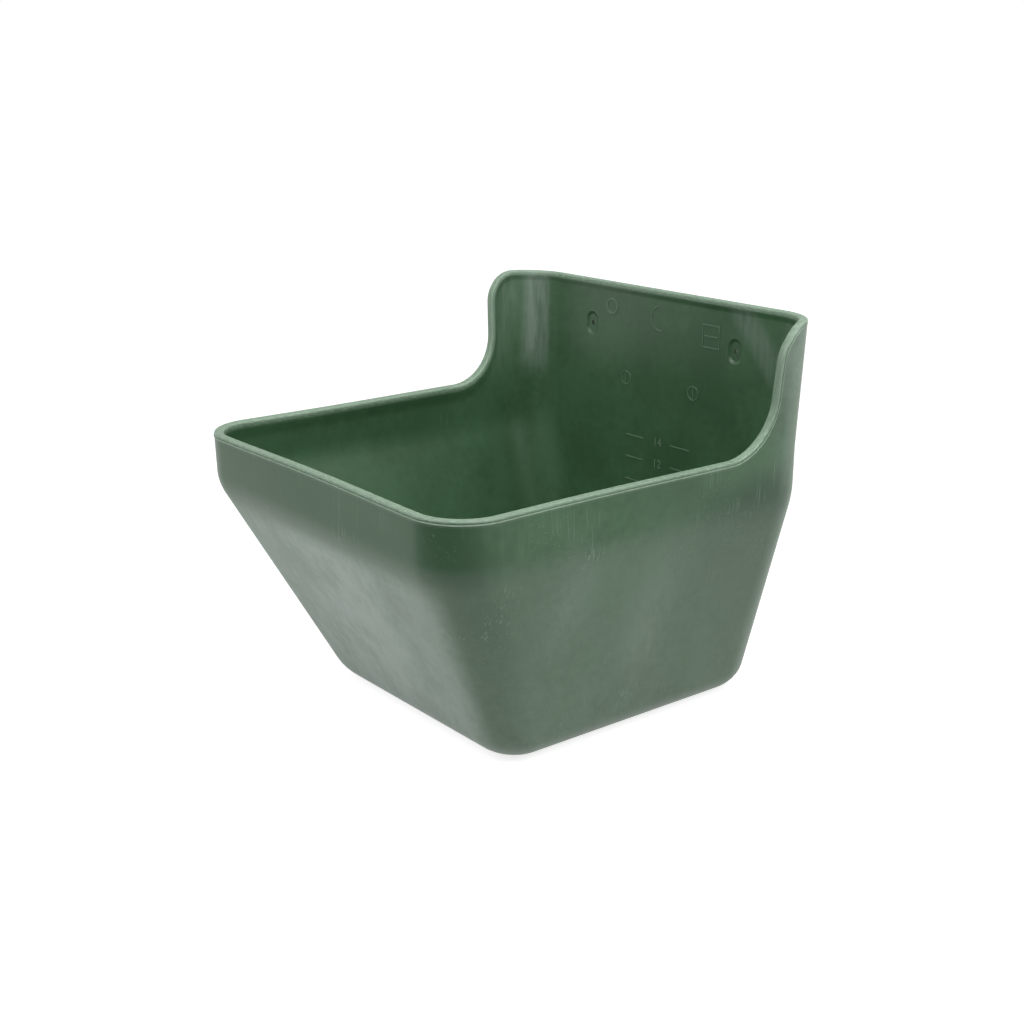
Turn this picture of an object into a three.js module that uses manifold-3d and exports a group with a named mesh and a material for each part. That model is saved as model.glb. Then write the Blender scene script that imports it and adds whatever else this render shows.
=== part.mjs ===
// Feed trough for a stable wall: one injection moulding in dark green polypropylene.
// Millimetres, +Z up, front towards -Y, back plate towards +Y, resting on its floor at z = 0.
import * as THREE from 'three';
import { mergeVertices } from 'three/addons/utils/BufferGeometryUtils.js';
import Module from 'manifold-3d';

// Overall size: widths are across X, depths are measured forward from the flat back face
const topWidth = 350;
const rimWidth = 336;
const kneeWidth = 334.4;
const floorBackWidth = 233;
const floorFrontWidth = 227;
const rimDepth = 344;
const kneeDepth = 343.2;
const floorDepth = 255;

// Heights above the floor
const backHeight = 309;
const rimHeight = 214.5;
const kneeHeight = 175;

// Rounding of the tub
const frontCornerRadius = 41.5;
const frontFloorCornerRadius = 31;
const backTopCornerRadius = 46.5;
const backCornerRadius = 42.5;
const backFloorCornerRadius = 37;
const floorEdgeRadius = 22;
const kneeRadius = 36;

// Walls and rim lip
const wall = 5.5;
const floorThickness = 5.5;
const lipWidth = 7.7;
const wingLipWidth = 6.7;
const lipInnerDepth = 3;
const lipReach = 16;
const wingLipReach = 9;
const wingLipRise = 26;
const seamDrop = 2.8;
const seamHeight = 1.4;
const seamProud = 0.5;
const lipOuterRound = 1.2;
const lipInnerRound = 2.2;

// Side wings: the rim sweeps up from the low rim to the back plate
const wingFootDepth = 94.5;
const wingFootRadius = 42;
const wingTopRadius = 28;
const wingEdgeAngle = THREE.MathUtils.degToRad(88);
const cornerClear = 1;

// Fixing holes through the back plate, each in an upright obround seat with sloping sides
const holeSpacing = 167;
const holeDrop = 38;
const holeRadius = 2.1;
const seatWidth = 14.5;
const seatHeight = 20.5;
const seatDepth = 1.2;
const seatSlopeRun = 2.4;
const cutOverrun = 2;

// Steps of the mesh
const cornerSteps = 10;
const frontSteps = 4;
const backSteps = 6;
const sideSteps = 4;
const footSteps = 7;
const edgeSteps = 2;
const topRoundSteps = 6;
const filletSteps = 4;
const kneeSteps = 4;
const bandSteps = 4;
const holeSides = 24;

// Least spacing of the side walls' columns where they crowd at the back corner
const columnSpacing = 0.3;

const halfTurn = Math.PI;
const quarterTurn = Math.PI / 2;
const overallDepth = rimDepth + seamProud;
const backFace = overallDepth / 2;

const mix = (a, b, share) => a + (b - a) * share;

// Value at height z of a line from start (floor) through knee and rim, rounded at the knee
function kneeLine(start, knee, rim, z) {
  const lowerSlope = (knee - start) / kneeHeight;
  const upperSlope = (rim - knee) / (rimHeight - kneeHeight);
  const bend = Math.abs(Math.atan(lowerSlope) - Math.atan(upperSlope));
  const reach = kneeRadius * Math.tan(bend / 2);
  if (z <= kneeHeight - reach) {
    return start + lowerSlope * z;
  }
  if (z >= kneeHeight + reach) {
    return knee + upperSlope * (z - kneeHeight);
  }
  const share = (z - kneeHeight + reach) / (2 * reach);
  const low = knee - lowerSlope * reach;
  const high = knee + upperSlope * reach;
  return mix(mix(low, knee, share), mix(knee, high, share), share);
}

// Width across the walls at height z. Above the low rim the wings lean out to the top width
function widthAt(floorWidth, z) {
  const plainTop = kneeLine(floorWidth, kneeWidth, rimWidth, backHeight);
  const flare = (topWidth - plainTop) / (backHeight - rimHeight);
  return kneeLine(floorWidth, kneeWidth, rimWidth, z) + flare * Math.max(z - rimHeight, 0);
}

// Plan section of the tub at height z: half widths, depths and corner radii, moved in by inset
function sectionAt(z, inset) {
  const share = Math.min(z / kneeHeight, 1);
  const upperShare = Math.max((z - kneeHeight) / (backHeight - kneeHeight), 0);
  const lowerBack = mix(backFloorCornerRadius, backCornerRadius, share);
  return {
    halfFront: widthAt(floorFrontWidth, z) / 2 - inset,
    halfBack: widthAt(floorBackWidth, z) / 2 - inset,
    front: backFace - kneeLine(floorDepth, kneeDepth, rimDepth, z) + inset,
    back: backFace - inset,
    frontRadius: mix(frontFloorCornerRadius, frontCornerRadius, share) - inset,
    backRadius: mix(lowerBack, backTopCornerRadius, upperShare) - inset,
  };
}

// Centre and tangent points of the rounded front (or back) corner on the +X side of a section
function cornerOf(section, isFront) {
  const front = new THREE.Vector2(section.halfFront, section.front);
  const back = new THREE.Vector2(section.halfBack, section.back);
  const corner = isFront ? front : back;
  const along = (isFront ? back : front).clone().sub(corner).normalize();
  const across = new THREE.Vector2(-1, 0);
  const radius = isFront ? section.frontRadius : section.backRadius;
  const halfAngle = Math.acos(along.dot(across)) / 2;
  const run = radius / Math.tan(halfAngle);
  const bisector = along.clone().add(across).normalize();
  const centre = corner.clone().addScaledVector(bisector, radius / Math.sin(halfAngle));
  const onSide = corner.clone().addScaledVector(along, run);
  const onCross = corner.clone().addScaledVector(across, run);
  return { centre, radius, onSide, onCross };
}

function arcPoint(corner, from, to, share) {
  const start = from.clone().sub(corner.centre).angle();
  let turn = to.clone().sub(corner.centre).angle() - start;
  if (turn > halfTurn) {
    turn -= 2 * halfTurn;
  }
  if (turn < -halfTurn) {
    turn += 2 * halfTurn;
  }
  const angle = start + turn * share;
  const normal = new THREE.Vector2(Math.cos(angle), Math.sin(angle));
  return { point: corner.centre.clone().addScaledVector(normal, corner.radius), normal };
}

// Nearest point of the tub's outline at height z, for a point on a straight wall or past its end
function ontoWall(x, y, z, inset) {
  const section = sectionAt(z, inset);
  for (const isFront of [true, false]) {
    const { centre, radius } = cornerOf(section, isFront);
    const normal = new THREE.Vector2(x, y).sub(centre);
    const isPast = isFront ? normal.y < 0 : normal.y > 0;
    if (isPast && normal.x > 0) {
      normal.normalize();
      return { point: centre.addScaledVector(normal, radius), normal };
    }
    if (isPast) {
      const side = isFront ? -1 : 1;
      const wallY = isFront ? section.front : section.back;
      return { point: new THREE.Vector2(x, wallY), normal: new THREE.Vector2(0, side) };
    }
  }
  return { point: new THREE.Vector2(section.halfBack, y), normal: new THREE.Vector2(1, 0) };
}

// Rim line of a side wall from the low rim to the top of the wing:
// depth behind the back face, height, and the lean of the rim's face from straight up
function wingLine() {
  const line = [];
  const footCentre = backFace - wingFootDepth;
  for (let i = 1; i <= footSteps; i += 1) {
    const lean = (wingEdgeAngle * i) / footSteps;
    const y = footCentre + wingFootRadius * Math.sin(lean);
    const z = rimHeight + wingFootRadius * (1 - Math.cos(lean));
    line.push({ y, z, lean });
  }
  const foot = line[line.length - 1];
  const headZ = backHeight - wingTopRadius * (1 - Math.cos(wingEdgeAngle));
  const headY = foot.y + (headZ - foot.z) / Math.tan(wingEdgeAngle);
  for (let i = 1; i <= edgeSteps; i += 1) {
    const share = i / edgeSteps;
    line.push({ y: mix(foot.y, headY, share), z: mix(foot.z, headZ, share), lean: wingEdgeAngle });
  }
  const headCentre = headY + wingTopRadius * Math.sin(wingEdgeAngle);
  for (let i = 1; i <= topRoundSteps; i += 1) {
    const lean = wingEdgeAngle * (1 - i / topRoundSteps);
    const y = headCentre - wingTopRadius * Math.sin(lean);
    const z = backHeight - wingTopRadius * (1 - Math.cos(lean));
    line.push({ y, z, lean });
  }
  return line;
}

// Columns run up the walls. Each has its plan point at a height and inset, the point on the outer
// face at a height and a shift along the wall, its rim height and the lean of the rim there
function cornerColumn(isFront, share, rimZ, lean) {
  const at = (z, inset, shift) => {
    const corner = cornerOf(sectionAt(z, inset), isFront);
    const [from, to] = isFront ? [corner.onCross, corner.onSide] : [corner.onSide, corner.onCross];
    return arcPoint(corner, from, to, share + shift / (corner.radius * quarterTurn));
  };
  const plan = (z, inset) => at(z, inset, 0);
  const face = (z, shift) => at(z, 0, shift);
  return { plan, face, rimZ, lean };
}

function sideColumn(kneeY, rimY, rimZ, lean) {
  const kneeSection = sectionAt(kneeHeight, 0);
  const kneeStart = cornerOf(kneeSection, true).onSide.y;
  const kneeEnd = cornerOf(kneeSection, false).onSide.y;
  const kneeShare = (kneeY - kneeStart) / (kneeEnd - kneeStart);
  const plan = (z, inset) => {
    const section = sectionAt(z, inset);
    const start = cornerOf(section, true).onSide;
    const end = cornerOf(section, false).onSide;
    return { point: start.lerp(end, kneeShare) };
  };
  const face = (z, shift) => ontoWall(sectionAt(z, 0).halfBack, rimY + shift, z, 0);
  return { plan, face, rimZ, lean };
}

function crossColumn(isFront, share, rimZ) {
  const plan = (z, inset) => {
    const end = cornerOf(sectionAt(z, inset), isFront).onCross;
    const point = new THREE.Vector2(mix(0, end.x, share), end.y);
    return { point, normal: new THREE.Vector2(0, isFront ? -1 : 1) };
  };
  return { plan, face: (z) => plan(z, 0), rimZ, lean: 0 };
}

// Width and reach of the lip where the rim stands at a height: slimmer and shorter on the wings
function lipAt(rimZ) {
  const share = Math.min((rimZ - rimHeight) / wingLipRise, 1);
  return { width: mix(lipWidth, wingLipWidth, share), reach: mix(lipReach, wingLipReach, share) };
}

// Height and lean of the wing's rim at a distance along the wall from where its top rounding ends
function wingHead(distance) {
  const reach = Math.max(Math.min(-distance, wingTopRadius), 0);
  const lean = Math.asin(reach / wingTopRadius);
  return { z: backHeight - wingTopRadius * (1 - Math.cos(lean)), lean };
}

function rightHalfColumns() {
  const columns = [];
  for (let i = 0; i < frontSteps; i += 1) {
    columns.push(crossColumn(true, i / frontSteps, rimHeight));
  }
  for (let i = 0; i <= cornerSteps; i += 1) {
    columns.push(cornerColumn(true, i / cornerSteps, rimHeight, 0));
  }
  const rimStart = cornerOf(sectionAt(rimHeight, 0), true).onSide.y;
  for (let i = 1; i <= sideSteps; i += 1) {
    const share = i / sideSteps;
    const y = mix(rimStart, backFace - wingFootDepth, share);
    columns.push(sideColumn(y, y, rimHeight, 0));
  }
  const backCorner = cornerOf(sectionAt(backHeight, 0), false);
  const wing = wingLine();
  const headEnd = wing[wing.length - 1].y;
  const places = wing.filter((place) => place.y < backCorner.onSide.y - cornerClear);
  const kneeEnd = cornerOf(sectionAt(kneeHeight, 0), false).onSide.y;
  places.forEach((place, i) => {
    const lipFoot = place.y + lipAt(place.z).reach * Math.sin(place.lean);
    const crowded = kneeEnd - (places.length - i) * columnSpacing;
    columns.push(sideColumn(Math.min(lipFoot, crowded), place.y, place.z, place.lean));
  });
  for (let i = 0; i <= cornerSteps; i += 1) {
    const share = i / cornerSteps;
    const along = backCorner.onSide.y + share * quarterTurn * backCorner.radius;
    const { z, lean } = wingHead(along - headEnd);
    columns.push(cornerColumn(false, share, z, lean));
  }
  for (let i = backSteps - 1; i >= 0; i -= 1) {
    columns.push(crossColumn(false, i / backSteps, backHeight));
  }
  return columns;
}

// Rim section of the lip: rise is along the wall from the rim's top, out is along the wall's normal
function lipSection({ width, reach }) {
  const points = [
    { rise: -reach, out: 0 },
    { rise: -seamDrop - seamHeight / 2, out: 0 },
    { rise: -seamDrop, out: seamProud },
    { rise: -seamDrop + seamHeight / 2, out: 0 },
    { rise: -lipOuterRound, out: 0 },
    { rise: -lipOuterRound / 3, out: -lipOuterRound / 3 },
    { rise: 0, out: -lipOuterRound },
  ];
  const roundCentre = lipInnerRound - width;
  for (let i = 0; i <= filletSteps; i += 1) {
    const angle = (quarterTurn * i) / filletSteps;
    points.push({
      rise: lipInnerRound * (Math.cos(angle) - 1),
      out: roundCentre - lipInnerRound * Math.sin(angle),
    });
  }
  points.push({ rise: -lipInnerDepth, out: -width });
  points.push({ rise: -reach, out: -wall });
  return points;
}

// Point of the lip section on one column. The seam fades round the corners to a flat back face
function lipPoint(column, rise, out) {
  const z = column.rimZ + rise * Math.cos(column.lean);
  const { point, normal } = column.face(z, -rise * Math.sin(column.lean));
  const push = out > 0 ? out * (1 - Math.max(normal.y, 0)) : out;
  return new THREE.Vector3(point.x + normal.x * push, point.y + normal.y * push, z);
}

// Point between a wall's knee and its lip, kept on the wall's own outline
function bandPoint(foot, top, share, inset) {
  const between = foot.clone().lerp(top, share);
  const { point } = ontoWall(between.x, between.y, between.z, inset);
  return new THREE.Vector3(point.x, point.y, between.z);
}

function planPoint(column, z, inset) {
  const { point } = column.plan(z, inset);
  return new THREE.Vector3(point.x, point.y, z);
}

// All points of one column, from the middle of the floor outside to the middle of the floor inside
function columnPoints(column) {
  const kneeReach = kneeRadius * Math.tan(Math.atan((kneeDepth - floorDepth) / kneeHeight) / 2);
  const outer = [];
  const inner = [];
  const innerRadius = floorEdgeRadius - wall;
  for (let i = 0; i <= filletSteps; i += 1) {
    const angle = (quarterTurn * i) / filletSteps;
    const lift = 1 - Math.cos(angle);
    const reach = 1 - Math.sin(angle);
    outer.push(planPoint(column, floorEdgeRadius * lift, floorEdgeRadius * reach));
    inner.push(planPoint(column, floorThickness + innerRadius * lift, wall + innerRadius * reach));
  }
  for (let i = 0; i <= kneeSteps; i += 1) {
    const z = kneeHeight + kneeReach * ((2 * i) / kneeSteps - 1);
    outer.push(planPoint(column, z, 0));
    inner.push(planPoint(column, z, wall));
  }
  const section = lipSection(lipAt(column.rimZ));
  const lip = section.map(({ rise, out }) => lipPoint(column, rise, out));
  const outerFoot = outer[outer.length - 1];
  const innerFoot = inner[inner.length - 1];
  for (let i = 1; i < bandSteps; i += 1) {
    outer.push(bandPoint(outerFoot, lip[0], i / bandSteps, 0));
    inner.push(bandPoint(innerFoot, lip[lip.length - 1], i / bandSteps, wall));
  }
  return [...outer, ...lip, ...inner.reverse()];
}

// Closed skin of the whole moulding, from the columns of the right half and their mirror images
function troughSkin() {
  const right = rightHalfColumns().map(columnPoints);
  const mirror = (points) => points.map((p) => new THREE.Vector3(-p.x, p.y, p.z));
  const left = right.slice(1, -1).reverse().map(mirror);
  const columns = [...right, ...left];
  const rings = columns[0].length;
  const middleY = backFace - floorDepth / 2;
  const positions = columns.flatMap((points) => points.flatMap((p) => [p.x, p.y, p.z]));
  const outerMiddle = columns.length * rings;
  const innerMiddle = outerMiddle + 1;
  positions.push(0, middleY, 0, 0, middleY, floorThickness);
  const index = [];
  columns.forEach((points, i) => {
    const here = i * rings;
    const next = ((i + 1) % columns.length) * rings;
    for (let j = 0; j < rings - 1; j += 1) {
      index.push(here + j, next + j, next + j + 1);
      index.push(here + j, next + j + 1, here + j + 1);
    }
    index.push(outerMiddle, next, here);
    index.push(innerMiddle, here + rings - 1, next + rings - 1);
  });
  const geometry = new THREE.BufferGeometry();
  geometry.setAttribute('position', new THREE.Float32BufferAttribute(positions, 3));
  geometry.setIndex(index);
  return geometry;
}

const wasm = await Module();
wasm.setup();

function toSolid(geometry) {
  const bare = geometry.clone();
  bare.deleteAttribute('normal');
  bare.deleteAttribute('uv');
  const merged = mergeVertices(bare);
  return new wasm.Manifold(new wasm.Mesh({
    numProp: 3,
    vertProperties: new Float32Array(merged.getAttribute('position').array),
    triVerts: new Uint32Array(merged.getIndex().array),
  }));
}

function toGeometry(solid) {
  const mesh = solid.getMesh();
  const geometry = new THREE.BufferGeometry();
  geometry.setAttribute('position', new THREE.BufferAttribute(mesh.vertProperties, 3));
  geometry.setIndex(new THREE.BufferAttribute(mesh.triVerts, 1));
  geometry.computeVertexNormals();
  return geometry;
}

// Outline of an upright obround at depth y, round its centre at the origin
function obround(width, height, y) {
  const radius = width / 2;
  const points = [];
  for (let i = 0; i < holeSides; i += 1) {
    const angle = (2 * halfTurn * (i + 0.5)) / holeSides;
    const rise = Math.sign(Math.sin(angle)) * (height / 2 - radius);
    points.push([radius * Math.cos(angle), y, radius * Math.sin(angle) + rise]);
  }
  return points;
}

// Cutter for one fixing hole: a plain bore, and the seat that opens on the plate's inner face
function holeCutter(x) {
  const innerFace = -wall;
  const bottomWidth = seatWidth - 2 * seatSlopeRun;
  const bottomHeight = seatHeight - 2 * seatSlopeRun;
  const seat = wasm.Manifold.hull([
    ...obround(bottomWidth, bottomHeight, innerFace + seatDepth),
    ...obround(seatWidth, seatHeight, innerFace),
    ...obround(seatWidth, seatHeight, innerFace - cutOverrun),
  ]);
  const boreWidth = 2 * holeRadius;
  const bore = wasm.Manifold.hull([
    ...obround(boreWidth, boreWidth, innerFace - cutOverrun),
    ...obround(boreWidth, boreWidth, cutOverrun),
  ]);
  return seat.add(bore).translate([x, backFace, backHeight - holeDrop]);
}

function troughBody() {
  let solid = toSolid(troughSkin());
  for (const side of [-1, 1]) {
    solid = solid.subtract(holeCutter((side * holeSpacing) / 2));
  }
  const material = new THREE.MeshStandardMaterial({ color: 0x46664c, roughness: 0.48, metalness: 0 });
  const mesh = new THREE.Mesh(toGeometry(solid), material);
  mesh.name = 'trough_body';
  return mesh;
}

const trough = new THREE.Group();
trough.add(troughBody());

export default trough;
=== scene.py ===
import math
from bisect import bisect
from collections import namedtuple

import bmesh
import bpy
from bpy.props import FloatProperty, FloatVectorProperty, IntProperty, PointerProperty
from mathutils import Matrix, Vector


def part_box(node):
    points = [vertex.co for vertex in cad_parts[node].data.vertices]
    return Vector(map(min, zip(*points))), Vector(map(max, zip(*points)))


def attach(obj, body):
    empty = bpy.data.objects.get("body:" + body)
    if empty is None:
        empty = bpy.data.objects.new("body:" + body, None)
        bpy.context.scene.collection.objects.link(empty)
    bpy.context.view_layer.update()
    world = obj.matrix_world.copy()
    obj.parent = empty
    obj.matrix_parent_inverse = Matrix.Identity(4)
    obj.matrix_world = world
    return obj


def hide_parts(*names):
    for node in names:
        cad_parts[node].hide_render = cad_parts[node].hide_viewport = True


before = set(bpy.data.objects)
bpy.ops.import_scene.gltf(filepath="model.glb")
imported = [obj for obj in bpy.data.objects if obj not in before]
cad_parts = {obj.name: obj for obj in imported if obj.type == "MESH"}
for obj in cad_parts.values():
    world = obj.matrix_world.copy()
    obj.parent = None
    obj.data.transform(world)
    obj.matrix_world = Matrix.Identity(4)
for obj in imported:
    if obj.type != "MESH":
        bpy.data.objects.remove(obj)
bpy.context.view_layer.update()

bl_info = {
    "name": "Stable Feed Trough",
    "version": (1, 0, 0),
    "blender": (4, 5, 0),
    "location": "3D View > Sidebar > Feed Trough",
    "description": "Dresses the moulded wall trough: skin, litre scale, moulded marks and a plain stage",
    "category": "Add Mesh",
}

CAD_NODE = "trough_body"
CAD_BODY = "root"
NODE_LOW, NODE_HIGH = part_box(CAD_NODE)
QUARTER_TURN = math.pi / 2
SHARP_ANGLE = math.radians(21)
LITRES_PER_CUBIC_METRE = 1000
WHITE = (1.0, 1.0, 1.0, 1.0)
BLACK = (0.0, 0.0, 0.0, 1.0)


def length_property(name, description, default):
    return FloatProperty(name=name, description=description, default=default, unit="LENGTH")


def angle_property(name, description, default):
    return FloatProperty(name=name, description=description, default=default, subtype="ANGLE")


def share_property(name, description, default, most=1):
    return FloatProperty(name=name, description=description, default=default, min=0, max=most)


def plate_property(name, description, default):
    """A place on the back plate, across it and above the floor"""
    return FloatVectorProperty(name=name, description=description, default=default, size=2, unit="LENGTH")


def colour_property(name, description, default):
    return FloatVectorProperty(
        name=name, description=description, default=default, subtype="COLOR", min=0, max=1)


class TubSizes(bpy.types.PropertyGroup):
    """Driving sizes of the moulding. Widths are across X, depths are measured forward from the back face"""

    top_width: length_property("Top width", "Outer width at the top of the back plate", 0.350)
    rim_width: length_property("Rim width", "Outer width at the low rim", 0.336)
    knee_width: length_property("Knee width", "Outer width where the side walls bend", 0.3344)
    floor_back_width: length_property(
        "Floor width at the back", "Width of the floor at the back plate", 0.233)
    floor_front_width: length_property(
        "Floor width at the front", "Width of the floor at the front wall", 0.227)
    seam_proud: length_property("Seam ridge", "How far the mould seam stands out of the wall", 0.0005)
    depth: length_property(
        "Overall depth", "From the back face to the front of the mould seam", NODE_HIGH.y - NODE_LOW.y)
    knee_depth: length_property("Knee depth", "From the back face to the front wall at its bend", 0.3432)
    floor_depth: length_property("Floor depth", "From the back face to the front of the floor", 0.255)
    back_height: length_property("Back height", "Height of the back plate", NODE_HIGH.z)
    rim_height: length_property("Rim height", "Height of the low rim at the front and sides", 0.2145)
    knee_height: length_property("Knee height", "Height of the bend in the walls", 0.175)
    knee_radius: length_property("Knee radius", "Rounding of the bend in the walls", 0.036)
    front_corner_radius: length_property(
        "Front corner radius", "Upright front corners at the rim", 0.0415)
    front_floor_corner_radius: length_property(
        "Front floor corner radius", "Upright front corners at the floor", 0.031)
    back_top_corner_radius: length_property(
        "Back top corner radius", "Upright back corners at the top of the back plate", 0.0465)
    back_corner_radius: length_property(
        "Back corner radius", "Upright back corners at the bend in the walls", 0.0425)
    back_floor_corner_radius: length_property(
        "Back floor corner radius", "Upright back corners at the floor", 0.037)
    floor_edge_radius: length_property(
        "Floor edge radius", "Rounding where the walls meet the floor", 0.022)
    wall: length_property("Wall", "Wall thickness", 0.0055)
    floor_thickness: length_property("Floor thickness", "Thickness of the floor", 0.0055)
    rim_bow: length_property(
        "Rim bow", "How far the long walls are drawn in at the middle of the rim", 0.0021)


class LipSizes(bpy.types.PropertyGroup):
    """Section of the thickened rim, and the sweep of the rim up to the back plate"""

    width: length_property("Width", "Width of the low rim", 0.0077)
    wing_width: length_property("Wing width", "Width of the rim on the wings and the back plate", 0.0067)
    inner_depth: length_property("Inner depth", "Height of the full width inside", 0.0030)
    reach: length_property("Reach", "Height over which the low rim thins to the wall", 0.016)
    wing_reach: length_property(
        "Wing reach", "Distance over which the rim of the wings thins to the wall", 0.009)
    wing_rise: length_property(
        "Wing rise", "Height above the low rim from which the rim is as slim as on the wings", 0.026)
    seam_drop: length_property("Seam drop", "Distance of the mould seam below the top", 0.0028)
    seam_height: length_property("Seam height", "Height of the mould seam", 0.0010)
    seam_groove: length_property("Seam groove", "Depth of the fine groove above the mould seam", 0.00035)
    outer_round: length_property("Outer rounding", "Rounding of the outer edge", 0.0012)
    inner_round: length_property("Inner rounding", "Rounding of the inner edge", 0.0022)
    foot_depth: length_property(
        "Sweep start", "Distance in front of the back face at which the rim starts to rise", 0.0945)
    foot_radius: length_property("Sweep radius", "Radius of the rising sweep", 0.042)
    head_radius: length_property("Shoulder radius", "Radius of the wing's top", 0.028)
    edge_angle: angle_property("Wing slope", "Slope of the wing's front edge", math.radians(88))
    corner_clear: length_property(
        "Corner clearance", "Distance kept between the wing's columns and the back corner", 0.001)


class HoleSizes(bpy.types.PropertyGroup):
    """The two screw holes in the back plate and their long sunk seats"""

    spacing: length_property("Spacing", "Distance between the holes", 0.167)
    drop: length_property("Drop", "Distance of the holes below the top of the back plate", 0.038)
    radius: length_property("Radius", "Radius of the through hole", 0.0021)
    seat_width: length_property("Seat width", "Width of the sunk seat", 0.0145)
    seat_height: length_property("Seat height", "Height of the sunk seat", 0.0205)
    seat_depth: length_property("Seat depth", "Depth of the sunk seat", 0.0012)
    seat_slope_run: length_property("Seat slope", "Width of the seat's sloping border", 0.0024)
    overrun: length_property("Overrun", "How far the cutter runs past the faces", 0.002)


class MarkSizes(bpy.types.PropertyGroup):
    """Low relief on the inner face of the back plate"""

    relief: length_property("Relief", "How far the marks stand out of the wall", 0.0004)
    sunk: length_property("Sunk", "How far the marks reach into the wall", 0.0004)
    number_height: length_property("Number height", "Height of the litre numbers", 0.0074)
    number_side: length_property(
        "Number place", "Middle of the numbers beside the middle of the wall", 0.0009)
    line_start: length_property("Line start", "Distance of the scale lines from the middle", 0.0160)
    line_length: length_property("Line length", "Length of each scale line", 0.0218)
    line_width: length_property("Line width", "Width of a scale line", 0.0011)
    litre_step: IntProperty(name="Litre step", description="Litres between two marks", default=2)
    litre_last: IntProperty(name="Top mark", description="Litres at the top mark", default=14)
    ring_side: length_property("Ring place", "Distance of the two rings from the middle", 0.0397)
    ring_height: length_property("Ring height", "Height of the rings above the floor", 0.2302)
    ring_radius: length_property("Ring radius", "Outer radius of the rings", 0.0062)
    ring_width: length_property("Ring width", "Width of a ring's line", 0.0011)
    arc_place: plate_property(
        "Arc place", "Centre of the bare arc across and up the back plate", (-0.0005, 0.2855))
    arc_radius: length_property("Arc radius", "Outer radius of the bare arc", 0.0105)
    arc_start: angle_property("Arc start", "Angle at which the bare arc starts", 1.7)
    arc_end: angle_property("Arc end", "Angle at which the bare arc ends", 5.1)
    dimple_place: plate_property(
        "Dimple place", "Centre of the plain ring across and up the back plate", (-0.0585, 0.2886))
    dimple_radius: length_property("Dimple radius", "Outer radius of the plain ring", 0.0070)
    dimple_width: length_property("Dimple width", "Width of the plain ring's line", 0.00176)
    frame_place: plate_property(
        "Frame place", "Centre of the bare frame across and up the back plate", (0.0575, 0.2790))
    frame_size: length_property("Frame size", "Width and height of the bare frame", 0.0190)


class PlasticFinish(bpy.types.PropertyGroup):
    """Colours and wear of the green polypropylene, with painted shade, painted sheen and painted highlights
    among them
    """

    dark_green: colour_property(
        "Dark green", "Colour of the plastic where it is darkest", (0.034, 0.092, 0.039))
    light_green: colour_property(
        "Light green", "Colour of the plastic where it is lightest", (0.049, 0.124, 0.055))
    # Painted shade: the colour that the front corners and the rear of the side walls are darkened towards
    deep_green: colour_property(
        "Deep green", "Colour of the plastic in its thick corners", (0.014, 0.060, 0.020))
    # Pale colour of the dust film, also used for painted sheen and painted light
    film: colour_property("Dust film", "Colour of the pale film on scuffed walls", (0.49, 0.57, 0.52))
    bruise: colour_property(
        "Stress white", "Colour of the plastic where it is scratched or bruised", (0.30, 0.41, 0.31))
    # Painted shade: how far the front corners and the rear of the side walls are darkened
    corner_depth: share_property(
        "Corner depth", "How much darker the plastic is in the thick front corners", 0.70)
    roughness: share_property("Roughness", "Roughness of the clean surface", 0.40)
    wear: share_property("Wear", "Strength of the scratches and scuffs", 1.0, most=2)
    line_wear: share_property("Line wear", "How worn the scale lines are", 0.4)
    number_wear: share_property("Number wear", "How worn the litre numbers are", 0.7)
    mark_wear: share_property("Mark wear", "How worn the rings, the arc and the frame are", 0.3)


class StageSetup(bpy.types.PropertyGroup):
    """Camera, floor and lamps"""

    camera_place: FloatVectorProperty(
        name="Camera place", description="Where the camera stands", default=(0.86883, -0.68232, 0.49437),
        subtype="TRANSLATION", unit="LENGTH")
    camera_azimuth: angle_property(
        "Camera azimuth", "Direction of the view round the trough", math.radians(51.4039))
    camera_elevation: angle_property(
        "Camera elevation", "Angle at which the camera looks down", math.radians(17.2011))
    lens: FloatProperty(
        name="Lens", description="Focal length in millimetres on a 36 mm sensor", default=52.25)
    floor_colour: colour_property("Floor colour", "Colour of the floor", (0.52, 0.52, 0.52))
    floor_radius: length_property("Floor radius", "Half the width of the floor", 9.0)
    floor_gap: length_property("Floor gap", "Gap between the trough and the floor", 0.0003)
    floor_glow: share_property(
        "Floor glow", "White added to the floor where it is seen or mirrored", 0.78)
    glow_start: length_property("Glow start", "Distance at which the floor starts to whiten", 0.6)
    glow_end: length_property("Glow end", "Distance at which the floor is fully white", 2.2)
    mirror_start: length_property(
        "Mirror start", "Distance at which the mirrored floor starts to darken", 0.32)
    mirror_end: length_property("Mirror end", "Distance at which the mirrored floor is darkest", 0.75)
    mirror_dim: share_property("Mirror dimming", "How much darker the mirrored floor gets", 0.8)
    ambient: FloatProperty(
        name="Ambient", description="Strength of the even light from all round", default=0.22, min=0)
    mirrored: FloatProperty(
        name="Mirrored", description="Strength of the surroundings where they are mirrored",
        default=0.6, min=0)
    overhead_power: FloatProperty(name="Overhead power", description="Watts of the lamp above", default=13.0)
    right_power: FloatProperty(name="Right power", description="Watts of the right lamp", default=13.0)
    left_power: FloatProperty(name="Left power", description="Watts of the left lamp", default=11.0)
    right_turn: angle_property(
        "Right lamp's turn", "Direction of the right lamp round the trough", math.radians(102))
    left_turn: angle_property(
        "Left lamp's turn", "Direction of the left lamp round the trough", math.radians(-4))
    lamp_distance: length_property("Lamp distance", "Distance of the side lamps", 1.6)
    lamp_elevation: angle_property(
        "Lamp elevation", "Height of the side lamps as an angle", math.radians(42))


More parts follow.
